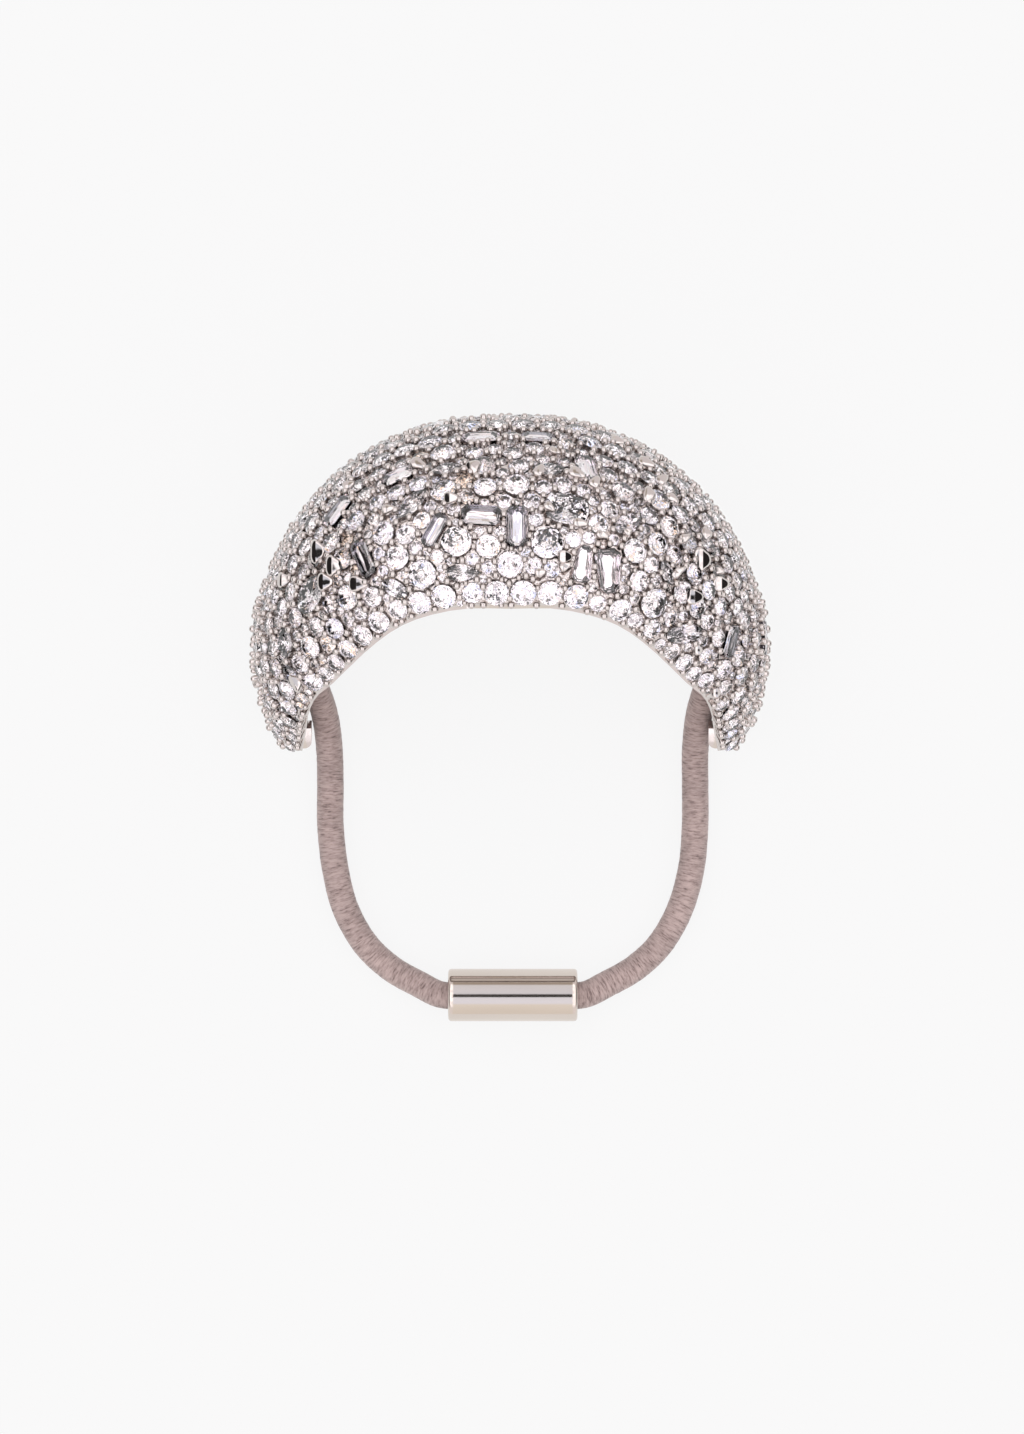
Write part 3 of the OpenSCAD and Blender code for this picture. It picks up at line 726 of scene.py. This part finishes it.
FLAT_CLAWS = [
    (418, 471, 1.15, 0.75, -30, 0.00, 0.50),
    (350, 492, 0.80, 0.60, 20, -0.10, 0.45),
    (388, 515, 0.85, 0.60, 10, 0.00, 0.40),
    (539, 478, 0.95, 0.65, 60, 0.00, 0.50),
    (554, 459, 0.80, 0.50, -30, 0.00, 0.55),
    (576, 480, 1.15, 0.75, -30, 0.00, 0.50),
    (594, 489, 0.90, 0.70, 60, 0.05, 0.45),
    (549, 513, 0.80, 0.55, -40, 0.00, 0.42),
    (579, 529, 1.00, 0.60, -10, 0.05, 0.40),
    (601, 541, 0.85, 0.50, -20, 0.05, 0.40),
    (616, 449, 1.00, 0.70, -20, 0.05, 0.55),
    (647, 501, 0.80, 1.05, -10, 0.10, 0.45),
    (660, 487, 0.90, 0.70, 40, 0.10, 0.48),
    (644, 470, 1.20, 0.70, -25, 0.10, 0.52),
    (670, 505, 0.85, 0.60, -40, 0.15, 0.45),
    (683, 544, 0.75, 0.55, 30, 0.10, 0.40),
    (704, 540, 0.70, 0.90, 0, 0.12, 0.42),
    (677, 578, 1.10, 0.45, 40, 0.05, 0.35),
    (565, 572, 0.85, 0.50, 30, 0.00, 0.35),
    (540, 578, 0.75, 0.55, 10, 0.00, 0.35),
    (627, 538, 0.60, 0.50, 40, 0.05, 0.40),
    (716, 577, 0.75, 0.50, 0, 0.12, 0.40),
]
FAR_CLAWS = 22
FAR_SIDE = -0.1
FAR_LOWEST = 2.5 * MM
FAR_EDGE = 0.15 * MM
FAR_RIM_ROOM = 1.5 * MM
FAR_SPACING = 2.5 * MM
FAR_ACROSS = 0.75 * MM
FAR_ALONG = 0.58 * MM
SEAT_DEPTH = 0.45 * MM
CUFF_COLOUR = (0.72, 0.67, 0.645)


shell_mesh = merged("cuff_shell", "cuff_survey")
shell_mesh.calc_loop_triangles()
shell_places = vertex_places(shell_mesh)
shell_triangles = np.array([t.vertices[:] for t in shell_mesh.loop_triangles])
shell_tree = BVHTree.FromPolygons(shell_places.tolist(), shell_triangles.tolist())


def outer_triangles():
    """Triangles of the casting's outer face: those that look away from the ponytail with nothing of
    the casting outside them, and what runs on from them without a sharp edge."""
    corners = shell_places[shell_triangles]
    middles = corners.mean(1)
    normals = np.cross(corners[:, 1] - corners[:, 0], corners[:, 2] - corners[:, 0])
    areas = np.linalg.norm(normals, axis=1)
    normals /= areas[:, None]
    away = middles - way_middle
    facing = (normals * away).sum(1) / np.linalg.norm(away, axis=1)
    keep = set()
    for i in np.flatnonzero(facing > OUTER_FACING):
        start = Vector(middles[i] + normals[i] * JUST_OUTSIDE)
        if shell_tree.ray_cast(start, Vector(normals[i]), FAR_OFF)[0] is None:
            keep.add(i)
    sides = {}
    for i, triangle in enumerate(shell_triangles):
        for a, b in zip(triangle, np.roll(triangle, -1)):
            sides.setdefault((min(a, b), max(a, b)), []).append(i)
    beside = {}
    for pair in sides.values():
        if len(pair) == 2 and normals[pair[0]] @ normals[pair[1]] > math.cos(SHARP):
            beside.setdefault(pair[0], []).append(pair[1])
            beside.setdefault(pair[1], []).append(pair[0])
    edge = list(keep)
    while edge:
        fresh = [i for i in beside.get(edge.pop(), []) if i not in keep]
        keep.update(fresh)
        edge += fresh
    keep = sorted(keep)
    return shell_triangles[keep], normals[keep] * areas[keep, None]


def rim_points():
    """The border of the outer face, as points to measure from."""
    sides = np.sort(np.concatenate([outer[:, [0, 1]], outer[:, [1, 2]], outer[:, [2, 0]]]), axis=1)
    lines, counts = np.unique(sides, axis=0, return_counts=True)
    border = lines[counts == 1]
    shares = np.linspace(0, 1, RIM_STEPS)[:, None, None]
    starts, ends = shell_places[border[:, 0]], shell_places[border[:, 1]]
    points = (starts * (1 - shares) + ends * shares).reshape(-1, 3)
    tree = KDTree(len(points))
    for i, point in enumerate(points):
        tree.insert(point, i)
    tree.balance()
    return tree


outer, outer_normals = outer_triangles()
outer_tree = BVHTree.FromPolygons(shell_places.tolist(), outer.tolist())
rims = rim_points()
smooth = np.zeros_like(shell_places)
for corner in range(3):
    np.add.at(smooth, outer[:, corner], outer_normals)
smooth /= np.linalg.norm(smooth, axis=1, keepdims=True) + 1e-12


def outward_at(faces, places):
    """The smooth outward direction at places on the outer face, which lie in the given triangles."""
    a, b, c = [shell_places[outer[faces, k]] for k in range(3)]
    across = np.cross(b - a, c - a)
    shares = [(np.cross(q - places, r - places) * across).sum(1) for q, r in [(b, c), (c, a), (a, b)]]
    shares = np.stack(shares, 1)
    ways = np.einsum("nk,nkc->nc", shares, smooth[outer[faces]])
    return ways / np.linalg.norm(ways, axis=1, keepdims=True)


def claw(slope):
    """Claw of radius 1 and height 1: a rounded three-sided peg with an eased edge. Its top falls
    away from a ridge along Y by the slope, or is flat."""
    points = []
    for r, z in CLAW_PROFILE:
        for i in range(CLAW_SIDES):
            a = 2 * math.pi * i / CLAW_SIDES
            reach = r * (1 - CLAW_LOBE + CLAW_LOBE * math.cos(3 * a))
            x, y = reach * math.cos(a), reach * math.sin(a)
            points.append((x, y, z * (1 - slope * abs(x))))
    faces = [(k * CLAW_SIDES + i, k * CLAW_SIDES + (i + 1) % CLAW_SIDES,
              (k + 1) * CLAW_SIDES + (i + 1) % CLAW_SIDES, (k + 1) * CLAW_SIDES + i)
             for k in range(len(CLAW_PROFILE) - 1) for i in range(CLAW_SIDES)]
    top, quarter = len(points) - CLAW_SIDES, CLAW_SIDES // 4
    faces += [tuple(top + i % CLAW_SIDES for i in range(start, start + CLAW_SIDES // 2 + 1))
              for start in (quarter, 3 * quarter)]
    return points, faces + [tuple(reversed(range(CLAW_SIDES)))]


def seen_place(u, v):
    """The outer face's place and outward direction where the camera sees it at a pixel."""
    fall = MM / PIXELS_PER_MM / (CAMERA_PLACE.z - SCALE_HEIGHT)
    way = Vector(((u - PHOTO_WIDE / 2) * fall, (PHOTO_HIGH / 2 - v) * fall, -1)).normalized()
    place, normal, index, reach = outer_tree.ray_cast(CAMERA_PLACE, way)
    return np.array(place), outward_at([index], np.array([place]))[0]


def setting_tree(name, labels):
    """Sets one copy of a template on each point, turned outwards, spun and sized by attributes."""
    tree, given = geometry_tree(name, [("Template", "Object")] + [(label, "Material") for label in labels])
    template = add(tree, "GeometryNodeObjectInfo", {"Object": given["Template"]}).outputs["Geometry"]
    outward = recalled(tree, "outward", "FLOAT_VECTOR")
    up = add(tree, "FunctionNodeAlignRotationToVector", {"Vector": outward}, axis="Z")
    spin = recalled(tree, "spin", "FLOAT")
    twist = add(tree, "FunctionNodeAxisAngleToRotation", {"Axis": (0, 0, 1), "Angle": spin})
    turn = add(tree, "FunctionNodeRotateRotation", {0: up.outputs[0], 1: twist.outputs[0]},
               rotation_space="LOCAL")
    copies = add(tree, "GeometryNodeInstanceOnPoints",
                 {"Points": given["Geometry"], "Instance": template, "Rotation": turn.outputs[0],
                  "Scale": recalled(tree, "size", "FLOAT_VECTOR")})
    whole = add(tree, "GeometryNodeRealizeInstances", {"Geometry": copies.outputs[0]}).outputs[0]
    whole = add(tree, "GeometryNodeSetMaterial", {"Geometry": whole, "Material": given[labels[0]]}).outputs[0]
    if len(labels) > 1:
        back = recalled(tree, "back", "BOOLEAN")
        whole = add(tree, "GeometryNodeSetMaterial", {"Geometry": whole, "Selection": back,
                                                      "Material": given[labels[1]]}).outputs[0]
    add(tree, "NodeGroupOutput", {0: whole})
    return tree


def set_copies(name, points, faces, places, outward, spin, size, back=None, **materials):
    """One mesh with a copy of a template at each place."""
    shape = bpy.data.meshes.new(name + "_template")
    shape.from_pydata(points, [], faces)
    if back:
        shape.attributes.new("back", "BOOLEAN", "FACE").data.foreach_set("value", back)
    template = piece_from(name + "_template", shape)
    start = bpy.data.meshes.new(name + "_points")
    start.from_pydata(np.asarray(places).tolist(), [], [])
    start.attributes.new("outward", "FLOAT_VECTOR", "POINT").data.foreach_set("vector", np.ravel(outward))
    start.attributes.new("spin", "FLOAT", "POINT").data.foreach_set("value", np.ravel(spin))
    start.attributes.new("size", "FLOAT_VECTOR", "POINT").data.foreach_set("vector", np.ravel(size))
    mesh = grown(name, start, setting_tree(name, list(materials)), {"Template": template, **materials})
    bpy.data.objects.remove(template)
    return mesh


SAMPLES = 90000
FAR_AWAY = 1.0
STONE_REACH = 7 * MM


def dome_samples(count):
    """Seeded places all over the dome's outer face, with their outward directions."""
    corners = shell_places[outer]
    weights = np.linalg.norm(outer_normals, axis=1)
    pick = chance.choice(len(outer), count, p=weights / weights.sum())
    shares = chance.dirichlet([1, 1, 1], count)
    places = np.einsum("nk,nkc->nc", shares, corners[pick])
    directions = np.einsum("nk,nkc->nc", shares, smooth[outer[pick]])
    return places, directions / np.linalg.norm(directions, axis=1, keepdims=True)


def outline_clearance(places, stone):
    """How far places lie outside a stone's outline."""
    middle, axis, side, other, hull = stone
    flat = (places - middle) @ np.c_[side, other]
    beyond = np.full(len(places), -FAR_AWAY)
    for a, b in zip(hull, np.roll(hull, -1, axis=0)):
        edge = b - a
        normal = np.array([edge[1], -edge[0]]) / np.linalg.norm(edge)
        if normal @ a < 0:
            normal = -normal
        beyond = np.maximum(beyond, (flat - a) @ normal)
    return beyond


def beyond_cut_stones(places):
    """How far places lie outside the nearest main stone's outline."""
    beyond = np.full(len(places), FAR_AWAY)
    for stone in main_stones + far_stones:
        near = np.flatnonzero(np.linalg.norm(places - stone[0], axis=1) < STONE_REACH)
        beyond[near] = np.minimum(beyond[near], outline_clearance(places[near], stone))
    return beyond


places, directions = dome_samples(SAMPLES)
rim_distance = np.array([rims.find(place)[2] for place in places])
clearance = beyond_cut_stones(places)
polished = plated_metal("claw_plating", CUFF_COLOUR, polish=0.03, stretch=(1, 1, 1), depth=0.05)
claws = []
for chart, slope in [(RIDGED_CLAWS, RIDGE_SLOPE), (FLAT_CLAWS, 0)]:
    for u, v, across, along, turn, right, top in chart:
        place = seen_place(u, v)[0]
        axis = np.array((right, top, math.sqrt(1 - right ** 2 - top ** 2)))
        claws.append((place, axis, across * MM, along * MM, math.radians(turn), slope))
hidden = (directions[:, 2] < FAR_SIDE) & (places[:, 2] > FAR_LOWEST)
hidden &= (np.abs(clearance) < FAR_EDGE) & (rim_distance > FAR_RIM_ROOM)
apart = np.full(SAMPLES, FAR_AWAY)
for number in range(FAR_CLAWS):
    fit = np.flatnonzero(hidden & (apart > FAR_SPACING))
    best = fit[chance.integers(len(fit))]
    slope = RIDGE_SLOPE if number % 2 else 0
    claws.append((places[best], directions[best], FAR_ACROSS, FAR_ALONG, chance.uniform(0, 6), slope))
    apart = np.minimum(apart, np.linalg.norm(places - places[best], axis=1))
for name, slope in [("ridged_claws", RIDGE_SLOPE), ("flat_claws", 0)]:
    feet, ways, turns, sizes = [], [], [], []
    for place, axis, across, along, turn, top in claws:
        if top == slope:
            feet.append(place - SEAT_DEPTH * axis)
            ways.append(axis)
            turns.append(turn)
            sizes.append((across, along, CLAW_HIGH + SEAT_DEPTH))
    claw_mesh = set_copies(name, *claw(slope), feet, ways, turns, sizes, Metal=polished)
    claw_mesh.shade_smooth()
    claw_mesh.set_sharp_from_angle(angle=CLAW_CREASE)
    claw_piece = piece_from(name, claw_mesh)
    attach(claw_piece, "root")
for place, axis, across, along, turn, slope in claws:
    reach = CLAW_GRIP * (across + along)
    clearance = np.minimum(clearance, np.linalg.norm(places - place, axis=1) - reach)

# Small stones. Round brilliants of up to 2.8 mm fill the dome between the main stones, and finer
# ones down to 0.7 mm fill what is left. All are set in the same way, with silvered backs.
FILLER_LIFT = 0.55 * MM
FILLER_WIDTHS = [2.2 * MM, 1.9 * MM]
FILLER_MOST = 1.8 * MM
FILLER_LEAST = 0.72 * MM
STONE_GAP = 0.04 * MM
SWELL = 0.10
STONE_RIM_ROOM = 0.45 * MM
TABLE_ROOM = 0.15 * MM
LEAN = 0.05
SWELL_REACH = 6 * MM
NOWHERE = 9.0
# Pixels of the photograph where a stone looks brownish
WARM_STONES = [(344, 550), (431, 460), (463, 482), (357, 571)]


def beyond_round(places, middle, axis, width):
    """How far places lie outside a round stone, measured across its axis where they are near it."""
    away = places - middle
    reach = np.linalg.norm(away, axis=1)
    across = np.sqrt(np.maximum(reach ** 2 - (away @ axis) ** 2, 0))
    return np.where(reach < 2 * width, across, reach) - width / 2


small_survey = merged("small_stone_field", "small_survey")
small_places = vertex_places(small_survey)
stones = []
for island in islands(small_survey):
    middle, axis, side, other, hull = measured(small_places[island])
    stones.append((middle, axis, 2 * np.linalg.norm(hull, axis=1).max()))
middles = np.array([s[0] for s in stones])
for i, (middle, axis, width) in enumerate(stones):
    gaps = np.linalg.norm(middles - middle, axis=1) - np.array([s[2] for s in stones]) / 2
    gaps[i] = FAR_AWAY
    near = [o for o in main_stones + far_stones if np.linalg.norm(o[0] - middle) < SWELL_REACH]
    room = min([gaps.min()] + [outline_clearance(middle[None], o)[0] for o in near]) - width / 2
    width += min(max(room - STONE_GAP, 0), SWELL * width)
    stones[i] = (middle, axis, width)
    clearance = np.minimum(clearance, beyond_round(places, middle, axis, width))
girdle_heights = places[:, 2] + FILLER_LIFT * directions[:, 2]
edge_room = np.minimum(rim_distance - STONE_RIM_ROOM, girdle_heights - TABLE_ROOM)
for width in FILLER_WIDTHS + [0]:
    while True:
        room = np.minimum(clearance - STONE_GAP, edge_room)
        if width:
            fit = np.where(room >= width / 2, clearance, NOWHERE)
            best = fit.argmin()
            radius = width / 2 if fit[best] < NOWHERE else 0
        else:
            best = room.argmax()
            radius = min(room[best], FILLER_MOST / 2) if room[best] > FILLER_LEAST / 2 else 0
        if not radius:
            break
        stones.append((places[best] + FILLER_LIFT * directions[best], directions[best], 2 * radius))
        clearance = np.minimum(clearance, np.linalg.norm(places - places[best], axis=1) - radius)

middles = np.array([s[0] for s in stones])
axes = np.array([s[1] for s in stones])
widths = np.array([s[2] for s in stones])
circle = [(math.cos(math.pi * i / 8) / 2, math.sin(math.pi * i / 8) / 2) for i in range(16)]
stone_points, stone_faces, stone_back = brilliant(circle, CROWN_SHARE, DEPTH_SHARE)
small_mesh = set_copies("small_round_stones", stone_points, stone_faces, middles,
                        axes + LEAN * chance.normal(size=axes.shape),
                        chance.uniform(0, 2 * math.pi, len(stones)), np.repeat(widths, 3),
                        back=stone_back, Crown=crown_material, Back=foil_material)
palettes = np.tile(FOIL_REFLECTION_TINTS, (len(stones), 1, 1))
for u, v in WARM_STONES:
    place, normal = seen_place(u, v)
    palettes[np.linalg.norm(middles - place, axis=1).argmin()] = WARM_TINTS
reflection_tinted(small_mesh, np.repeat(palettes, len(stone_faces), axis=0))
small = piece_from("small_round_stones", small_mesh)
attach(small, "root")
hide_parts("small_stone_field")

# Cuff. One hollow casting, plated and polished: a dome bent round the ponytail like a crescent,
# with a plain rim, a lug at each tip and two soldered rings inside for the elastic. Its outer face
# is drilled with a cone for each stone, and the metal left between them reaches up to the girdles.
RIM_ROUND = 0.14 * MM
RIM_WIDE = 0.45 * MM
RIM_SLOPE = 0.35 * MM
WEB_HIGH = 0.50 * MM
SEAT_STEEPNESS = 1.0
# How far into a seat the painted shade takes to reach its darkest.
SEAT_SHADE_SPAN = 0.4 * MM
FINEST_EDGE = 0.40 * MM
HALVINGS = 4
ON_FACE = 0.02 * MM
WEB_DULLNESS = 0.03
DENT_SCALE = 2.2 / MM
DENT_RELIEF = 0.25 * MM
# Painted shade: the darker colour the plating is given down in the seats, where the stones shade it.
SEAT_SHADE_COLOUR = (0.60, 0.55, 0.535)


def eased(mesh, width):
    """The mesh with its sharp edges rounded."""
    work = piece_from(mesh.name + "_work", mesh)
    bevel = work.modifiers.new("ease", "BEVEL")
    bevel.width = width
    bevel.segments = 3
    bevel.angle_limit = SHARP
    return modified(work, "cuff_casting")


def made_finer(mesh, longest):
    """Halves the edges on the outer face that are longer than that, a few times over."""
    work = bmesh.new()
    work.from_mesh(mesh)
    bmesh.ops.triangulate(work, faces=work.faces)
    for halving in range(HALVINGS):
        long = [e for e in work.edges if e.calc_length() > longest]
        long = [e for e in long if outer_tree.find_nearest((e.verts[0].co + e.verts[1].co) / 2)[3] < ON_FACE]
        bmesh.ops.subdivide_edges(work, edges=long, cuts=1)
        bmesh.ops.triangulate(work, faces=[f for f in work.faces if len(f.verts) > 3])
    work.to_mesh(mesh)
    work.free()


def casting_material():
    """Polished plating, uneven where the metal was pushed about between the stones, and darkened down
    in the seats by painted shade, a blend towards a darker colour."""
    material, tree, shader = new_material("rhodium_plating")
    place = add(tree, "ShaderNodeTexCoord").outputs["Object"]
    finish = plated_group(tree, place, polish=0.06, depth=0.2)
    # Painted shade: the seat mask blends the plating towards the darker colour down in the seats.
    seat = add(tree, "ShaderNodeAttribute", attribute_name="seat").outputs["Fac"]
    web = add(tree, "ShaderNodeAttribute", attribute_name="web").outputs["Fac"]
    colour = blended(tree, seat, (*CUFF_COLOUR, 1), (*SEAT_SHADE_COLOUR, 1))
    shade = add(tree, "ShaderNodeVectorMath", {0: colour, "Scale": finish.outputs["Tone"]},
                operation="SCALE")
    dull = add(tree, "ShaderNodeMath", {0: web, 1: WEB_DULLNESS, 2: finish.outputs["Roughness"]},
               operation="MULTIPLY_ADD")
    dents = add(tree, "ShaderNodeTexNoise", {"Vector": place, "Scale": DENT_SCALE, "Detail": 2.0})
    pushed = add(tree, "ShaderNodeMath", {0: dents.outputs[0], 1: web}, operation="MULTIPLY")
    bump = add(tree, "ShaderNodeBump", {"Height": pushed.outputs[0], "Normal": finish.outputs["Normal"],
                                        "Strength": 0.8, "Distance": DENT_RELIEF})
    feed(shader, {"Base Color": shade.outputs[0], "Roughness": dull.outputs[0], "Normal": bump.outputs[0],
                  "Metallic": 1.0})
    return material


cuff_mesh = eased(merged("cuff_shell", "cuff_casting"), RIM_ROUND)
made_finer(cuff_mesh, FINEST_EDGE)
cuff_places = vertex_places(cuff_mesh)
nearest = [outer_tree.find_nearest(place) for place in cuff_places]
face = np.flatnonzero([spot[3] < ON_FACE for spot in nearest])
face_places = cuff_places[face]
face_ways = outward_at([nearest[i][2] for i in face], face_places)
inward = np.array([rims.find(place)[2] for place in face_places]) - RIM_WIDE
inside = np.clip(inward / RIM_SLOPE, 0, 1)
beyond = beyond_cut_stones(face_places)
for middle, axis, width in stones:
    beyond = np.minimum(beyond, beyond_round(face_places, middle, axis, width))
raised = inside * np.clip(WEB_HIGH + SEAT_STEEPNESS * beyond, -SEAT_DEPTH, WEB_HIGH)
table_room = np.maximum(face_places[:, 2], 0) / np.maximum(-face_ways[:, 2], ALMOST)
raised = np.minimum(raised, table_room)
cuff_places[face] += raised[:, None] * face_ways
cuff_mesh.vertices.foreach_set("co", cuff_places.astype(np.float32).ravel())
# The first attribute is the mask of the painted shade in the seats. The second marks the web.
for label, values in [("seat", inside * np.clip(-beyond / SEAT_SHADE_SPAN, 0, 1)), ("web", inside)]:
    spread = np.zeros(len(cuff_places))
    spread[face] = values
    cuff_mesh.attributes.new(label, "FLOAT", "POINT").data.foreach_set("value", spread)
cuff_mesh.shade_smooth()
cuff_mesh.set_sharp_from_angle(angle=SHARP)
cuff = piece_from("cuff_casting", cuff_mesh, casting_material())
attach(cuff, "root")
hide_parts("cuff_shell")

# Bead prongs. More than a thousand round-topped pegs, cast with the cuff and pushed over the edges
# of the stones, stand in every gap of the setting. They are shorter near the rim.
BEAD_SIDES = 10
BEAD_PROFILE = [(1, 0.0), (1, 0.78), (0.91, 0.88), (0.67, 0.955), (0.35, 0.99)]
BEAD_CREASE = math.radians(70)
BEAD_HIGH = 1.36 * MM
BEAD_LEAST = 0.29 * MM
BEAD_MOST = 0.40 * MM
BEAD_GRIP = 0.20 * MM
BEAD_SPACING = 0.74 * MM
BEAD_RIM_ROOM = 0.5 * MM
BEAD_SHORTEST = 0.76
BEAD_FULL_ROOM = 2.5 * MM
BEAD_TABLE_ROOM = 0.05 * MM
# Painted shade: a darker copy of the casting's plating, for the beads that stand shaded among the stones.
BEAD_SHADED_COLOUR = (0.66, 0.61, 0.585)


def peg():
    """Peg of radius 1 and height 1 under a round top: rings of points from the foot up."""
    points = [(r * math.cos(2 * math.pi * i / BEAD_SIDES), r * math.sin(2 * math.pi * i / BEAD_SIDES), z)
              for r, z in BEAD_PROFILE for i in range(BEAD_SIDES)] + [(0, 0, 1)]
    faces = [(k * BEAD_SIDES + i, k * BEAD_SIDES + (i + 1) % BEAD_SIDES,
              (k + 1) * BEAD_SIDES + (i + 1) % BEAD_SIDES, (k + 1) * BEAD_SIDES + i)
             for k in range(len(BEAD_PROFILE) - 1) for i in range(BEAD_SIDES)]
    last = (len(BEAD_PROFILE) - 1) * BEAD_SIDES
    faces += [(last + i, last + (i + 1) % BEAD_SIDES, len(points) - 1) for i in range(BEAD_SIDES)]
    return points, faces + [tuple(reversed(range(BEAD_SIDES)))]


spots, radii = [], []
lowest = places[:, 2] + np.minimum(BEAD_HIGH * directions[:, 2], 0)
standing = (rim_distance > BEAD_RIM_ROOM) & (lowest > BEAD_MOST + BEAD_TABLE_ROOM)
apart = np.full(SAMPLES, FAR_AWAY)
while True:
    free = standing & (apart > BEAD_SPACING) & (clearance > BEAD_LEAST - BEAD_GRIP)
    fit = np.where(free, clearance, -NOWHERE)
    best = fit.argmax()
    if fit[best] == -NOWHERE:
        break
    spots.append(best)
    radii.append(min(BEAD_MOST, fit[best] + BEAD_GRIP))
    apart = np.minimum(apart, np.linalg.norm(places - places[best], axis=1))

shares = np.clip(rim_distance[spots] / BEAD_FULL_ROOM, BEAD_SHORTEST, 1)
heights = SEAT_DEPTH + BEAD_HIGH * shares * chance.uniform(0.93, 1.07, len(spots))
# The beads' plating is painted darker than the casting's, as painted shade.
shaded_bead_metal = plated_metal("bead_plating", BEAD_SHADED_COLOUR, polish=0.01, stretch=(1, 1, 1), depth=0.05)
bead_mesh = set_copies("bead_prongs", *peg(), places[spots] - SEAT_DEPTH * directions[spots],
                       directions[spots], chance.uniform(0, 2 * math.pi, len(spots)),
                       np.c_[radii, radii, heights], Metal=shaded_bead_metal)
bead_mesh.shade_smooth()
bead_mesh.set_sharp_from_angle(angle=BEAD_CREASE)
bead_piece = piece_from("bead_prongs", bead_mesh)
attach(bead_piece, "root")

# Table and light. A pale table under a white soft box, with dark walls to the left and right, a
# duller room beyond, and the dark of the lens straight above.
TABLE_SIDE = 3.0
PALE = (0.9387, 0.9387, 0.9387, 1)
TABLE_OWN_SHARE = 0.93
SOFT_BOX = (1.75, 1.69, 1.73, 1)
SOFT_BOX_DULL = (1.28, 1.22, 1.25, 1)
ROOM = (0.97, 0.91, 0.91, 1)
FAR_ROOM = (0.84, 0.785, 0.79, 1)
DARK_WALL = (0.025, 0.022, 0.022, 1)
WALL_EDGE = (0.79, 0.85)
ROOM_FADE = (0.2, 0.6)
BOX_EDGE = (0.58, 0.66)
BOX_PATCHES = (0.45, 0.60)
SLOT_EDGE = (0.07, 0.09)
# What a level tube sees along the middle of the room, from the near end to the far one
SLOT = [
    (-1.00, (0.92, 0.86, 0.80)),
    (-0.66, (0.98, 0.93, 0.87)),
    (-0.56, (0.99, 1.01, 1.14)),
    (-0.14, (0.95, 0.98, 1.10)),
    (-0.11, (0.02, 0.02, 0.02)),
    (0.07, (0.03, 0.03, 0.03)),
    (0.14, (0.86, 0.88, 0.98)),
    (0.72, (0.86, 0.86, 0.92)),
    (0.77, (0.46, 0.40, 0.34)),
    (0.90, (0.48, 0.42, 0.36)),
    (0.93, (0.84, 0.80, 0.76)),
    (1.00, (0.86, 0.82, 0.78)),
]

table_mesh = bpy.data.meshes.new("table")
half = TABLE_SIDE / 2
table_mesh.from_pydata([(-half, -half, 0), (half, -half, 0), (half, half, 0), (-half, half, 0)], [],
                       [(0, 1, 2, 3)])
table_material = bpy.data.materials.new("pale_table")
tree = emptied(table_material)
own = add(tree, "ShaderNodeEmission", {"Color": PALE, "Strength": 1.0})
lit = add(tree, "ShaderNodeBsdfDiffuse", {"Color": PALE})
mix = add(tree, "ShaderNodeMixShader", {0: 1 - TABLE_OWN_SHARE, 1: own.outputs[0], 2: lit.outputs[0]})
add(tree, "ShaderNodeOutputMaterial", {"Surface": mix.outputs[0]})
table = piece_from("table", table_mesh, table_material)

world = bpy.data.worlds.new("studio")
bpy.context.scene.world = world
tree = emptied(world)


def step_up(value, low, high):
    """Rises from 0 to 1 as the value goes from low to high."""
    return add(tree, "ShaderNodeMapRange", {0: value, 1: low, 2: high}).outputs[0]


direction = add(tree, "ShaderNodeTexCoord").outputs["Generated"]
east, north, up = add(tree, "ShaderNodeSeparateXYZ", {0: direction}).outputs
sideways = add(tree, "ShaderNodeMath", {0: east}, operation="ABSOLUTE").outputs[0]
room = blended(tree, step_up(north, *ROOM_FADE), ROOM, FAR_ROOM)
patches = add(tree, "ShaderNodeTexNoise", {"Vector": direction, "Scale": 5.0, "Detail": 2.0}).outputs[0]
soft_box = blended(tree, step_up(patches, *BOX_PATCHES), SOFT_BOX, SOFT_BOX_DULL)
room = blended(tree, step_up(up, *BOX_EDGE), room, soft_box)
room = blended(tree, step_up(sideways, *WALL_EDGE), room, DARK_WALL)
slot = colour_steps(tree, step_up(north, -1.0, 1.0), [((y + 1) / 2, colour) for y, colour in SLOT])
room = blended(tree, step_up(sideways, *SLOT_EDGE), slot, room)
light = add(tree, "ShaderNodeBackground", {"Color": room, "Strength": 1.0})
plain = add(tree, "ShaderNodeBackground", {"Color": PALE, "Strength": 1.0})
seen = add(tree, "ShaderNodeLightPath").outputs["Is Camera Ray"]
mix = add(tree, "ShaderNodeMixShader", {0: seen, 1: light.outputs[0], 2: plain.outputs[0]})
add(tree, "ShaderNodeOutputWorld", {"Surface": mix.outputs[0]})
bpy.context.scene.view_settings.view_transform = "Standard"
